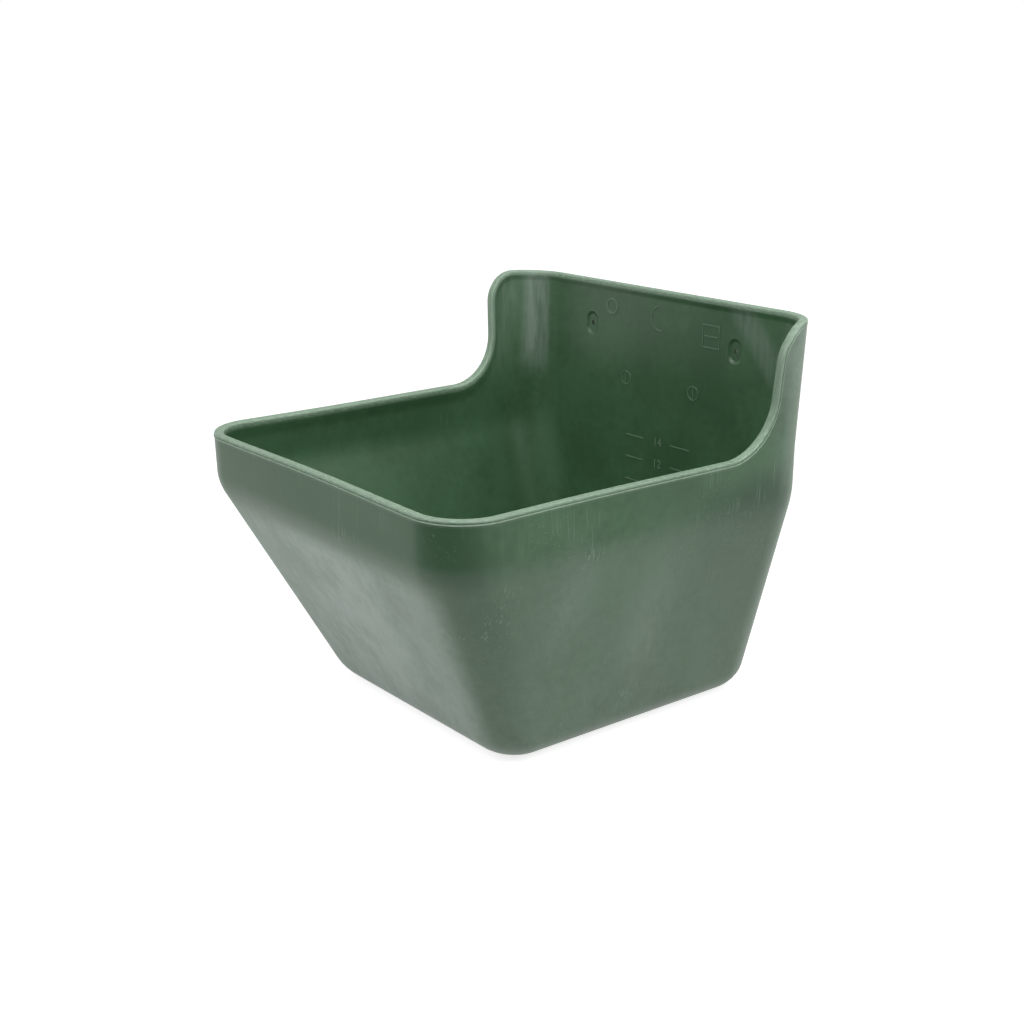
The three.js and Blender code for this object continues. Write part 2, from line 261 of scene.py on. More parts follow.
Section = namedtuple("Section", "half_front half_back front back front_radius back_radius")
Corner = namedtuple("Corner", "centre radius on_side on_cross")
Column = namedtuple("Column", "plan face rim_z lean")
SeamPoint = namedtuple("SeamPoint", "rise_share ridge_share groove_share lip worn")
LipPoint = namedtuple("LipPoint", "rise out lip worn")
Ring = namedtuple("Ring", "points inside lip worn across", defaults=(0.0, 0.0, 0.0))
# A tag's haze is dust film together with painted sheen and painted light, and its deep is painted shade
Tag = namedtuple("Tag", "ring haze deep wrap")
ScuffedPatch = namedtuple("ScuffedPatch", "y z half_depth half_height strength")
Noise = namedtuple("Noise", "scale detail roughness distortion", defaults=(0.0,))
Pattern = namedtuple("Pattern", "noise low high least", defaults=(0.0,))
Smear = namedtuple("Smear", "centre lean half_width half_length strength")

# The rim's outer face across the mould seam, from below. A rise is counted from the middle of the seam in
# half heights of it, and the next two are shares of its ridge and of the groove above it
# The last value pales the ridge and its upper face as wear and as a painted highlight
SEAM_SHARES = (
    SeamPoint(-5.0, 0.0, 0.0, 0.0, 0.0),
    SeamPoint(-1.4, 0.0, 0.0, 0.3, 0.0),
    SeamPoint(-0.5, 0.8, 0.0, 0.9, 0.8),
    SeamPoint(0.0, 1.0, 0.0, 1.0, 1.0),
    SeamPoint(1 / 3, 0.6, 0.0, 1.0, 0.9),
    SeamPoint(1.0, 0.0, 1.0, 0.5, 0.0),
    SeamPoint(1.5, 0.0, 1.0, 0.5, 0.0),
    SeamPoint(2.4, 0.0, 0.25, 1.0, 0.2),
)
# Finish of the marks, and of the new faces round a screw hole: how far they reach as a share of the seat's
# height, the rim of the seat as a share of the cutter's overrun, and the outer face as a share of the wall
RELIEF_HAZE = 0.03
HOLE_REACH_SHARE = 0.55
SEAT_RIM_SHARE = 0.1
SEAT_RIM_WORN = 0.03
OUTER_FACE_SHARE = 0.25


def mix(a, b, share):
    return a + (b - a) * share


def smooth_step(low, high, value):
    share = min(max((value - low) / (high - low), 0.0), 1.0)
    return share * share * (3.0 - 2.0 * share)


class TubShape:
    """Plan sections, corners, columns and rim line of the tub, worked out from its sizes"""

    front_steps = 12
    corner_steps = 20
    side_steps = 16
    foot_steps = 16
    edge_steps = 8
    head_steps = 14
    back_steps = 20
    column_spacing = 0.00012

    def __init__(self, tub, lip):
        self.tub = tub
        self.lip = lip
        self.back_face = tub.depth / 2
        self.rim_depth = tub.depth - tub.seam_proud
        self.inner_back = self.back_face - tub.wall
        self.middle_y = self.back_face - tub.floor_depth / 2

    def knee_line(self, start, knee, rim, z):
        """Value at height z of a line from the floor through the knee and the rim, rounded at the knee"""
        tub = self.tub
        lower_slope = (knee - start) / tub.knee_height
        upper_slope = (rim - knee) / (tub.rim_height - tub.knee_height)
        bend = abs(math.atan(lower_slope) - math.atan(upper_slope))
        reach = tub.knee_radius * math.tan(bend / 2)
        if z <= tub.knee_height - reach:
            return start + lower_slope * z
        if z >= tub.knee_height + reach:
            return knee + upper_slope * (z - tub.knee_height)
        share = (z - tub.knee_height + reach) / (2 * reach)
        low = knee - lower_slope * reach
        high = knee + upper_slope * reach
        return mix(mix(low, knee, share), mix(knee, high, share), share)

    def width_at(self, floor_width, z):
        """Width across the walls at height z. Above the low rim the wings lean out to the top width"""
        tub = self.tub
        plain_top = self.knee_line(floor_width, tub.knee_width, tub.rim_width, tub.back_height)
        flare = (tub.top_width - plain_top) / (tub.back_height - tub.rim_height)
        plain = self.knee_line(floor_width, tub.knee_width, tub.rim_width, z)
        return plain + flare * max(z - tub.rim_height, 0.0)

    def section_at(self, z, inset):
        tub = self.tub
        share = min(z / tub.knee_height, 1.0)
        upper_share = max((z - tub.knee_height) / (tub.back_height - tub.knee_height), 0.0)
        lower_back = mix(tub.back_floor_corner_radius, tub.back_corner_radius, share)
        return Section(
            half_front=self.width_at(tub.floor_front_width, z) / 2 - inset,
            half_back=self.width_at(tub.floor_back_width, z) / 2 - inset,
            front=self.back_face - self.knee_line(tub.floor_depth, tub.knee_depth, self.rim_depth, z) + inset,
            back=self.back_face - inset,
            front_radius=mix(tub.front_floor_corner_radius, tub.front_corner_radius, share) - inset,
            back_radius=mix(lower_back, tub.back_top_corner_radius, upper_share) - inset,
        )

    def corner_of(self, section, is_front):
        """Centre and tangent points of the rounded corner on the +X side of a section"""
        front = Vector((section.half_front, section.front))
        back = Vector((section.half_back, section.back))
        corner = front if is_front else back
        along = ((back if is_front else front) - corner).normalized()
        across = Vector((-1.0, 0.0))
        radius = section.front_radius if is_front else section.back_radius
        half_angle = math.acos(along.dot(across)) / 2
        run = radius / math.tan(half_angle)
        centre = corner + (along + across).normalized() * (radius / math.sin(half_angle))
        return Corner(centre, radius, corner + along * run, corner + across * run)

    def arc_point(self, corner, start, end, share):
        first = start - corner.centre
        last = end - corner.centre
        start_angle = math.atan2(first.y, first.x)
        turn = math.remainder(math.atan2(last.y, last.x) - start_angle, 2 * math.pi)
        angle = start_angle + turn * share
        normal = Vector((math.cos(angle), math.sin(angle)))
        return corner.centre + normal * corner.radius, normal

    def onto_wall(self, x, y, z, inset):
        """Nearest point of the tub's outline at height z, for a point on a straight wall or past its end"""
        section = self.section_at(z, inset)
        for is_front in (True, False):
            corner = self.corner_of(section, is_front)
            normal = Vector((x, y)) - corner.centre
            past = normal.y < 0 if is_front else normal.y > 0
            if past and normal.x > 0:
                normal.normalize()
                return corner.centre + normal * corner.radius, normal
            if past:
                wall_y = section.front if is_front else section.back
                return Vector((x, wall_y)), Vector((0.0, -1.0 if is_front else 1.0))
        return Vector((section.half_back, y)), Vector((1.0, 0.0))

    def corner_column(self, is_front, share, rim_z, lean):
        def at(z, inset, shift):
            corner = self.corner_of(self.section_at(z, inset), is_front)
            ends = (corner.on_cross, corner.on_side) if is_front else (corner.on_side, corner.on_cross)
            return self.arc_point(corner, *ends, share + shift / (corner.radius * QUARTER_TURN))

        return Column(lambda z, inset: at(z, inset, 0.0), lambda z, shift: at(z, 0.0, shift), rim_z, lean)

    def side_column(self, knee_y, rim_y, rim_z, lean):
        normal = Vector((1.0, 0.0))
        knee = self.section_at(self.tub.knee_height, 0.0)
        knee_start = self.corner_of(knee, True).on_side.y
        knee_end = self.corner_of(knee, False).on_side.y
        knee_share = (knee_y - knee_start) / (knee_end - knee_start)

        def plan(z, inset):
            section = self.section_at(z, inset)
            start = self.corner_of(section, True).on_side
            end = self.corner_of(section, False).on_side
            return start.lerp(end, knee_share), normal

        def face(z, shift):
            return self.onto_wall(self.section_at(z, 0.0).half_back, rim_y + shift, z, 0.0)

        return Column(plan, face, rim_z, lean)

    def cross_column(self, is_front, share, rim_z):
        normal = Vector((0.0, -1.0 if is_front else 1.0))

        def plan(z, inset):
            end = self.corner_of(self.section_at(z, inset), is_front).on_cross
            return Vector((end.x * share, end.y)), normal

        return Column(plan, lambda z, shift: plan(z, 0.0), rim_z, 0.0)

    def wing_line(self):
        """Rim of a side wall from the low rim to the top of the wing: (y, z, lean) of each place"""
        tub, lip = self.tub, self.lip
        line = []
        foot_y = self.back_face - lip.foot_depth
        for i in range(1, self.foot_steps + 1):
            lean = lip.edge_angle * i / self.foot_steps
            line.append((
                foot_y + lip.foot_radius * math.sin(lean),
                tub.rim_height + lip.foot_radius * (1 - math.cos(lean)),
                lean,
            ))
        edge_y, edge_z, _ = line[-1]
        head_z = tub.back_height - lip.head_radius * (1 - math.cos(lip.edge_angle))
        head_y = edge_y + (head_z - edge_z) / math.tan(lip.edge_angle)
        for i in range(1, self.edge_steps + 1):
            share = i / self.edge_steps
            line.append((mix(edge_y, head_y, share), mix(edge_z, head_z, share), lip.edge_angle))
        head_centre = head_y + lip.head_radius * math.sin(lip.edge_angle)
        for i in range(1, self.head_steps + 1):
            lean = lip.edge_angle * (1 - i / self.head_steps)
            line.append((
                head_centre - lip.head_radius * math.sin(lean),
                tub.back_height - lip.head_radius * (1 - math.cos(lean)),
                lean,
            ))
        return line

    def wing_head(self, distance):
        """Height and lean of the wing's rim at a distance along the wall from where its rounding ends"""
        radius = self.lip.head_radius
        lean = math.asin(max(min(-distance, radius), 0.0) / radius)
        return self.tub.back_height - radius * (1 - math.cos(lean)), lean

    def up_share(self, rim_z):
        return min((rim_z - self.tub.rim_height) / self.lip.wing_rise, 1.0)

    def lip_reach(self, rim_z):
        return mix(self.lip.reach, self.lip.wing_reach, self.up_share(rim_z))

    def right_half_columns(self):
        """Columns from the middle of the front, round the +X side, to the middle of the back"""
        tub = self.tub
        columns = []
        for i in range(self.front_steps):
            columns.append(self.cross_column(True, i / self.front_steps, tub.rim_height))
        for i in range(self.corner_steps + 1):
            columns.append(self.corner_column(True, i / self.corner_steps, tub.rim_height, 0.0))
        rim_start = self.corner_of(self.section_at(tub.rim_height, 0.0), True).on_side.y
        for i in range(1, self.side_steps + 1):
            share = i / self.side_steps
            y = mix(rim_start, self.back_face - self.lip.foot_depth, share)
            columns.append(self.side_column(y, y, tub.rim_height, 0.0))
        back_corner = self.corner_of(self.section_at(tub.back_height, 0.0), False)
        wing = self.wing_line()
        head_end = wing[-1][0]
        places = [place for place in wing if place[0] < back_corner.on_side.y - self.lip.corner_clear]
        knee_end = self.corner_of(self.section_at(tub.knee_height, 0.0), False).on_side.y
        for i, (y, z, lean) in enumerate(places):
            lip_foot = y + self.lip_reach(z) * math.sin(lean)
            crowded = knee_end - (len(places) - i) * self.column_spacing
            columns.append(self.side_column(min(lip_foot, crowded), y, z, lean))
        for i in range(self.corner_steps + 1):
            share = i / self.corner_steps
            along = back_corner.on_side.y + share * QUARTER_TURN * back_corner.radius
            z, lean = self.wing_head(along - head_end)
            columns.append(self.corner_column(False, share, z, lean))
        for i in range(self.back_steps - 1, -1, -1):
            columns.append(self.cross_column(False, i / self.back_steps, tub.back_height))
        return columns

    def inner_area(self, columns, z):
        """Area of the feed's surface at height z: twice the half that the columns go round"""
        points = [column.plan(z, self.tub.wall)[0] for column in columns]
        return sum(a.x * b.y - b.x * a.y for a, b in zip(points, points[1:]))

    def litre_heights(self, last, step):
        """Height of the feed's surface for each mark of the scale"""
        slice_height = 0.001
        columns = self.right_half_columns()
        heights = []
        volume = 0.0
        z = self.tub.floor_thickness
        lower_area = 0.0
        wanted = step
        while wanted <= last:
            upper_area = self.inner_area(columns, z + slice_height)
            volume += (lower_area + upper_area) / 2 * slice_height
            lower_area = upper_area
            z += slice_height
            if volume * LITRES_PER_CUBIC_METRE >= wanted:
                heights.append((wanted, z))
                wanted += step
        return heights


def lip_section(tub, lip):
    """Section of the rim: rise is along the wall from its top, out is along the wall's normal"""
    round_steps = 6
    flat_steps = 4
    inner_steps = 10
    fade_steps = 8
    # The rim's roundings and top are paled as wear; on the roundings this also paints highlights, brightest
    # partway round the inner one
    round_wear_and_highlight = 0.35
    flat_worn = 0.25
    peak_wear_and_highlight_share = 0.45
    lip_end_share = 0.25
    half_seam = lip.seam_height / 2
    points = [LipPoint(-lip.reach, 0.0, 0.0, 0.0)]
    for place in SEAM_SHARES:
        rise = place.rise_share * half_seam - lip.seam_drop
        out = place.ridge_share * tub.seam_proud - place.groove_share * lip.seam_groove
        points.append(LipPoint(rise, out, place.lip, place.worn))
    for i in range(round_steps + 1):
        angle = QUARTER_TURN * i / round_steps
        rise = lip.outer_round * (math.sin(angle) - 1)
        out = -lip.outer_round * (1 - math.cos(angle))
        points.append(LipPoint(rise, out, 1.0, round_wear_and_highlight))
    inner_centre = lip.inner_round - lip.width
    for i in range(1, flat_steps):
        points.append(LipPoint(0.0, mix(-lip.outer_round, inner_centre, i / flat_steps), 1.0, flat_worn))
    for i in range(inner_steps + 1):
        angle = QUARTER_TURN * i / inner_steps
        rise = lip.inner_round * (math.cos(angle) - 1)
        out = inner_centre - lip.inner_round * math.sin(angle)
        worn = 1 - 2 * abs(i / inner_steps - peak_wear_and_highlight_share)
        points.append(LipPoint(rise, out, 1.0, max(worn, flat_worn)))
    for i in range(fade_steps + 1):
        share = i / fade_steps
        rise = mix(-lip.inner_depth, -lip.reach, share)
        out = mix(-lip.width, -tub.wall, smooth_step(0.0, 1.0, share))
        points.append(LipPoint(rise, out, max(1 - share / lip_end_share, 0.0), 0.0))
    return points


class WallTone:
    """How much pale film lies on each place of the wall, as dust and as painted sheen and painted light, and
    how much painted shade darkens its colour.
    A facing is the part of the normal along an axis from which a face counts, and at which it counts fully.
    A border is two heights from the knee, between which one finish gives way to another"""

    inner_haze = 0.02
    # Painted light: a pale band on the inner faces where the wings turn round the back corners
    inner_corner_haze = 0.25
    inner_corner_middle = 0.75
    inner_corner_reach = 0.25
    base_haze = 0.02
    # Dust film, and painted sheen for the white floor's reflection on the sloping front
    front_haze = 1.15
    side_haze = 0.05
    back_haze = 0.10
    # Painted sheen: the white floor's reflection near the foot of the walls
    foot_haze = 0.09
    band_haze = 0.05
    wing_haze = 0.36
    front_facing = (0.82, 1.0)
    side_facing = (0.6, 1.0)
    back_facing = (0.5, 1.0)
    film_border = (-0.023, -0.007)
    foot_share = 0.8
    side_fade = 0.6
    left_fade = 0.9
    left_power = 2
    right_fade = 0.9
    right_power = 1.5
    scuffed_patches = (
        ScuffedPatch(-0.064, 0.142, 0.020, 0.042, 0.13),
        ScuffedPatch(0.022, 0.098, 0.022, 0.045, 0.16),
        ScuffedPatch(0.138, 0.232, 0.016, 0.055, 0.32),
    )

    corner_facing = (0.35, 0.95)
    front_depth = 0.9
    front_depth_facing = (0.5, 0.8)
    lower_depth = 0.15
    depth_border = (-0.020, -0.002)
    rear_depth = 1.7
    rear_places = (-0.01, 0.14)
    rear_facing = (0.9, 1.0)
    rear_end = 0.010
    rear_lower_share = 0.8

    def __init__(self, shape):
        self.shape = shape

    def below(self, border, z):
        """1 below a border and 0 above it"""
        knee = self.shape.tub.knee_height
        return 1 - smooth_step(knee + border[0], knee + border[1], z)

    def up(self, z):
        """Share of the way from the floor up to the knee"""
        return min(z / self.shape.tub.knee_height, 1.0)

    def front_fade(self, point):
        """How much of the front's film and painted sheen is gone towards its sides, on the left mostly near
        the knee
        """
        tub = self.shape.tub
        up = self.up(point.z)
        across = min(abs(point.x) / mix(tub.floor_front_width, tub.knee_width, up) * 2, 1.0)
        if point.x < 0:
            return self.left_fade * up * across ** self.left_power
        return self.right_fade * across ** self.right_power

    def haze_at(self, point, normal, inside):
        """How much pale film lies on a point of the wall: dust, and painted sheen for the white floor's
        reflection, most on the sloping front; painted light on the inner faces of the wings' corners; some on
        the wings
        """
        tub = self.shape.tub
        wing = smooth_step(tub.rim_height, tub.back_height, point.z)
        if inside:
            # Painted light on the inner faces round the wings' back corners
            away = abs(abs(normal.x) - self.inner_corner_middle) / self.inner_corner_reach
            return self.inner_haze + self.inner_corner_haze * max(1 - away, 0.0) * wing
        front = smooth_step(*self.front_facing, -normal.y) * (1 - self.front_fade(point))
        side = smooth_step(*self.side_facing, abs(normal.x))
        side *= 1 - self.side_fade * smooth_step(0.0, self.shape.back_face, point.y)
        back = smooth_step(*self.back_facing, normal.y)
        low = 1 - smooth_step(0.0, tub.knee_height * self.foot_share, point.z)
        lower = self.base_haze + self.front_haze * front + self.side_haze * side + self.back_haze * back
        upper = self.band_haze * side + self.wing_haze * wing
        below = self.below(self.film_border, point.z)
        return mix(upper, lower + self.foot_haze * low, below) + self.scuffed_at(point) * side

    def scuffed_at(self, point):
        """Film of the scuffed patches on the side walls and wings"""
        total = 0.0
        for patch in self.scuffed_patches:
            along = (point.y - patch.y) / patch.half_depth
            up = (point.z - patch.z) / patch.half_height
            total += patch.strength * math.exp(-(along ** 2 + up ** 2))
        return total

    def depth_at(self, point, normal, inside):
        """Painted shade: how much darker the colour is made, most round the upright front, and at the rear of
        the sides
        """
        if inside:
            return 0.0
        tub = self.shape.tub
        corner = smooth_step(*self.corner_facing, 2 * abs(normal.x) * max(-normal.y, 0.0))
        front = smooth_step(*self.front_depth_facing, -normal.y)
        below = self.below(self.depth_border, point.z)
        # Painted shade on the front corners and the upright front, less below the knee
        thick = mix(max(corner, front * self.front_depth), corner * self.lower_depth, below)
        rear = smooth_step(*self.rear_places, point.y) * smooth_step(*self.rear_facing, abs(normal.x))
        rear *= 1 - smooth_step(tub.knee_height + self.rear_end, tub.rim_height, point.z)
        return thick + rear * self.rear_depth * mix(1.0, self.rear_lower_share * self.up(point.z), below)


class TroughSkin:
    """Fine closed skin of the moulding, as rings of points on the tub's columns"""

    fillet_steps = 9
    lower_steps = 18
    knee_steps = 10
    band_steps = 8
    floor_shares = (0.30, 0.45, 0.62, 0.80, 0.94)
    gate_radius = 0.0070
    gate_round = 0.0008
    gate_depth = 0.0008
    gate_worn = 0.6
    nub_radius = 0.0016
    nub_slope = 0.0005
    nub_short = 0.0002
    nub_worn = 1.0
    bowed_side_share = 0.8

    def __init__(self, shape):
        self.shape = shape
        self.tone = WallTone(shape)
        self.columns = shape.right_half_columns()
        self.middle = Vector((0.0, shape.middle_y))

    def level_ring(self, places, z, inside, worn=0.0):
        return Ring([Vector((place.x, place.y, z)) for place in places], inside, worn=worn)

    def plan_ring(self, z, inset, inside):
        """Ring along the wall at height z"""
        return self.level_ring([column.plan(z, inset)[0] for column in self.columns], z, inside)

    def floor_ring(self, edge, z, share, inside):
        """Ring on the floor, a share of the way from its middle to its edge"""
        return self.level_ring([self.middle.lerp(point.xy, share) for point in edge], z, inside)

    def gate_ring(self, edge, radius, z, worn):
        places = [self.middle + (point.xy - self.middle).normalized() * radius for point in edge]
        return self.level_ring(places, z, 0.0, worn)

    def gate_rings(self, edge):
        """Rings of the round mark that the moulding's gate leaves under the floor, from its middle out"""
        return [
            self.gate_ring(edge, self.nub_radius, self.nub_short, self.nub_worn),
            self.gate_ring(edge, self.nub_radius + self.nub_slope, self.gate_depth, 0.0),
            self.gate_ring(edge, self.gate_radius - self.gate_round, self.gate_depth, 0.0),
            self.gate_ring(edge, self.gate_radius, 0.0, self.gate_worn),
        ]

    def lip_rings(self):
        """Rings over the rim, from its foot on the outer face to its foot on the inner face"""
        tub = self.shape.tub
        rings = []
        across = 0.0
        before = None
        for place in lip_section(tub, self.shape.lip):
            if before is not None:
                across += math.hypot(place.rise - before.rise, place.out - before.out)
            before = place
            points = [self.lip_point(column, place) for column in self.columns]
            inside = 1.0 if place.out < -tub.wall / 2 else 0.0
            rings.append(Ring(points, inside, place.lip, place.worn, across))
        return rings

    def lip_point(self, column, place):
        """Point of the rim's section on a column. The ridge of the seam fades out round the back"""
        tub = self.shape.tub
        rise = self.shortened(place.rise, column)
        z = column.rim_z + rise * math.cos(column.lean)
        point, normal = column.face(z, -rise * math.sin(column.lean))
        out = place.out
        if out > 0:
            out *= 1 - max(normal.y, 0.0)
        if out < -tub.wall:
            out += self.slimmer(column) * (tub.wall + out) / (tub.wall - self.shape.lip.width)
        return Vector((point.x + normal.x * out, point.y + normal.y * out, z))

    def slimmer(self, column):
        """How much slimmer than the low rim the lip of a column is"""
        lip = self.shape.lip
        return (lip.width - lip.wing_width) * self.shape.up_share(column.rim_z)

    def shortened(self, rise, column):
        """Rise on a column whose lip is shorter than the low rim's. The part near its top stays as it is"""
        lip = self.shape.lip
        kept = -lip.inner_depth
        if rise >= kept:
            return rise
        return kept + (rise - kept) * (self.shape.lip_reach(column.rim_z) + kept) / (lip.reach + kept)

    def band_rings(self, foot, top, inside):
        """Rings between the top of the knee and the foot of the rim"""
        inset = self.shape.tub.wall if inside else 0.0
        rings = []
        for i in range(1, self.band_steps):
            points = []
            for a, b in zip(foot, top):
                between = a.lerp(b, i / self.band_steps)
                place, _ = self.shape.onto_wall(between.x, between.y, between.z, inset)
                points.append(Vector((place.x, place.y, between.z)))
            rings.append(Ring(points, inside))
        return rings

    def wall_rings(self, inside):
        """Rings of one side of the wall from the floor's edge to the top of the knee"""
        tub = self.shape.tub
        inset = tub.wall if inside else 0.0
        base = tub.floor_thickness if inside else 0.0
        radius = tub.floor_edge_radius - inset
        rings = []
        for i in range(self.fillet_steps + 1):
            angle = QUARTER_TURN * i / self.fillet_steps
            z = base + radius * (1 - math.cos(angle))
            rings.append(self.plan_ring(z, inset + radius * (1 - math.sin(angle)), inside))
        bend = math.atan((tub.knee_depth - tub.floor_depth) / tub.knee_height)
        reach = tub.knee_radius * math.tan(bend / 2)
        for i in range(1, self.lower_steps + 1):
            z = mix(base + radius, tub.knee_height - reach, i / self.lower_steps)
            rings.append(self.plan_ring(z, inset, inside))
        for i in range(1, self.knee_steps + 1):
            z = tub.knee_height + reach * (2 * i / self.knee_steps - 1)
            rings.append(self.plan_ring(z, inset, inside))
        return rings

    def build_rings(self):
        """All rings, from the middle of the underside up the outer face, over the rim and down inside"""
        outer = self.wall_rings(0.0)
        lip = self.lip_rings()
        edge = outer[0].points
        rings = self.gate_rings(edge)
        rings += [self.floor_ring(edge, 0.0, share, 0.0) for share in self.floor_shares]
        rings += outer
        rings += self.band_rings(outer[-1].points, lip[0].points, 0.0)
        rings += lip
        inner = self.wall_rings(1.0)
        inner += self.band_rings(inner[-1].points, lip[-1].points, 1.0)
        rings += reversed(inner)
        thick = self.shape.tub.floor_thickness
        for share in reversed(self.floor_shares):
            rings.append(self.floor_ring(inner[0].points, thick, share, 1.0))
        return rings

    def bowed(self, point):
        """Draws the front and the sides in a little towards the middle of the rim"""
        tub = self.shape.tub
        lift = smooth_step(tub.knee_height, tub.rim_height, point.z)
        front = self.shape.back_face - self.shape.rim_depth
        foot = self.shape.back_face - self.shape.lip.foot_depth
        half = tub.rim_width / 2
        if point.y < front + tub.front_corner_radius:
            share = min(abs(point.x) / (half - tub.front_corner_radius), 1.0)
            point.y += tub.rim_bow * lift * (1 - share * share) ** 2
        middle = (front + foot) / 2
        share = min(abs(point.y - middle) / (foot - middle), 1.0)
        if abs(point.x) > half * self.bowed_side_share:
            point.x -= math.copysign(tub.rim_bow * lift * (1 - share * share) ** 2, point.x)
        return point

    def tagged_points(self, rings):
        """Points of all rings, each ring from the middle of the front over +X and back, and their tags.
        The finish's own place, wrap, runs round the wall as on a cylinder and draws together on the floor"""
        tub = self.shape.tub
        right = len(self.columns)
        order = list(range(right)) + list(range(right - 2, 0, -1))
        normals = [column.plan(tub.knee_height, 0.0)[1] for column in self.columns]
        around = self.perimeter_places()
        turn_radius = around[-1] / math.pi
        feet = [column.plan(0.0, tub.floor_edge_radius)[0] for column in self.columns]
        reaches = [(foot.xy - self.middle).length for foot in feet]
        positions = []
        tags = []
        for ring in rings:
            for i, k in enumerate(order):
                side = 1 if i < right else -1
                point = ring.points[k].copy()
                spread = turn_radius * min((point.xy - self.middle).length / reaches[k], 1.0)
                point.x *= side
                positions.append(self.bowed(point))
                angle = side * around[k] / turn_radius
                wrap = (spread * math.cos(angle), spread * math.sin(angle), point.z)
                # haze: dust film with painted sheen and painted light
                haze = self.tone.haze_at(point, normals[k], ring.inside)
                # deep: painted shade on the front corners and the rear of the side walls
                deep = self.tone.depth_at(point, normals[k], ring.inside)
                tags.append(Tag(ring, haze, deep, wrap))
        return positions, tags

    def mesh(self, name):
        rings = self.build_rings()
        positions, tags = self.tagged_points(rings)
        around = len(positions) // len(rings)
        faces = []
        for j in range(len(rings) - 1):
            for i in range(around):
                n = (i + 1) % around
                faces.append((j * around + i, j * around + n, (j + 1) * around + n, (j + 1) * around + i))
        faces.append(tuple(reversed(range(around))))
        last = (len(rings) - 1) * around
        centre = len(positions)
        thick = self.shape.tub.floor_thickness
        positions.append(self.middle.to_3d() + Vector((0.0, 0.0, thick)))
        tags.append(tags[-1]._replace(wrap=(0.0, 0.0, thick)))
        for i in range(around):
            faces.append((last + i, last + (i + 1) % around, centre))
        mesh = bpy.data.meshes.new(name)
        mesh.from_pydata([p[:] for p in positions], [], faces)
        mesh.update()
        write_tags(mesh, tags)
        return mesh

    def perimeter_places(self):
        """Distance of each column from the middle of the front, round the wall at knee height"""
        points = [column.plan(self.shape.tub.knee_height, 0.0)[0] for column in self.columns]
        places = [0.0]
        for a, b in zip(points, points[1:]):
            places.append(places[-1] + (b - a).length)
        return places


def write_tags(mesh, tags):
    """Stores what the plastic's finish depends on with each vertex"""
    values = {
        "inside": [tag.ring.inside for tag in tags],
        "lip": [tag.ring.lip for tag in tags],
        # wear, with painted highlights on the rim's roundings and the seam's ridge
        "edge_wear_and_highlight": [tag.ring.worn for tag in tags],
        "across": [tag.ring.across for tag in tags],
        # dust film with painted sheen and painted light
        "haze": [tag.haze for tag in tags],
        # painted shade
        "deep": [tag.deep for tag in tags],
    }
    for name, numbers in values.items():
        mesh.attributes.new(name, "FLOAT", "POINT").data.foreach_set("value", numbers)
    flat = [number for tag in tags for number in tag.wrap]
    mesh.attributes.new("wrap", "FLOAT_VECTOR", "POINT").data.foreach_set("vector", flat)


def tag_relief(mesh, worn):
    """Gives a mark on the inner wall the same kind of values as the wall it stands on"""
    ring = Ring(None, 1.0, worn=worn)
    write_tags(mesh, [Tag(ring, RELIEF_HAZE, 0.0, tuple(vertex.co)) for vertex in mesh.vertices])


def add_piece(mesh, name, material):
    piece = bpy.data.objects.new(name, mesh)
    bpy.context.scene.collection.objects.link(piece)
    mesh.materials.append(material)
    mesh.shade_smooth()
    mesh.set_sharp_from_angle(angle=SHARP_ANGLE)
    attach(piece, CAD_BODY)
    return piece


def obround(width, height, y, steps):
    """Outline of an upright obround at depth y, round its centre at the origin"""
    radius = width / 2
    points = []
    for i in range(steps):
        angle = 2 * math.pi * (i + 0.5) / steps
        rise = math.copysign(height / 2 - radius, math.sin(angle))
        points.append(Vector((radius * math.cos(angle), y, radius * math.sin(angle) + rise)))
    return points


def hole_cutter(shape, hole, x):
    """Cutter for one screw hole: a long sunk seat that narrows to a round hole through the plate"""
    sides = 64
    z = shape.tub.back_height - hole.drop
    inner = shape.inner_back
    bottom = inner + hole.seat_depth
    bottom_width = hole.seat_width - 2 * hole.seat_slope_run
    bottom_height = hole.seat_height - 2 * hole.seat_slope_run
    bore = 2 * hole.radius
    levels = (
        obround(hole.seat_width, hole.seat_height, inner - hole.overrun, sides),
        obround(hole.seat_width, hole.seat_height, inner, sides),
        obround(bottom_width, bottom_height, bottom, sides),
        obround(bore, bore, bottom, sides),
        obround(bore, bore, shape.back_face + hole.overrun, sides),
    )
    positions = [point + Vector((x, 0.0, z)) for level in levels for point in level]
    last = (len(levels) - 1) * sides
    faces = [tuple(range(sides)), tuple(reversed(range(last, last + sides)))]
    for j in range(len(levels) - 1):
        for i in range(sides):
            n = (i + 1) % sides
            faces.append((j * sides + n, j * sides + i, (j + 1) * sides + i, (j + 1) * sides + n))
    mesh = bpy.data.meshes.new("hole_cutter")
    mesh.from_pydata([point[:] for point in positions], [], faces)
    mesh.update()
    cutter = bpy.data.objects.new("hole_cutter", mesh)
    bpy.context.scene.collection.objects.link(cutter)
    return cutter


def cut_holes(piece, cutters):
    """Cuts the holes into the piece, removes the cutters and returns the cut mesh"""
    for cutter in cutters:
        modifier = piece.modifiers.new("hole", "BOOLEAN")
        modifier.operation = "DIFFERENCE"
        modifier.solver = "EXACT"
        modifier.object = cutter
    graph = bpy.context.evaluated_depsgraph_get()
    cut = bpy.data.meshes.new_from_object(piece.evaluated_get(graph))
    piece.modifiers.clear()
    piece.data = cut
    for cutter in cutters:
        bpy.data.meshes.remove(cutter.data)
    return cut


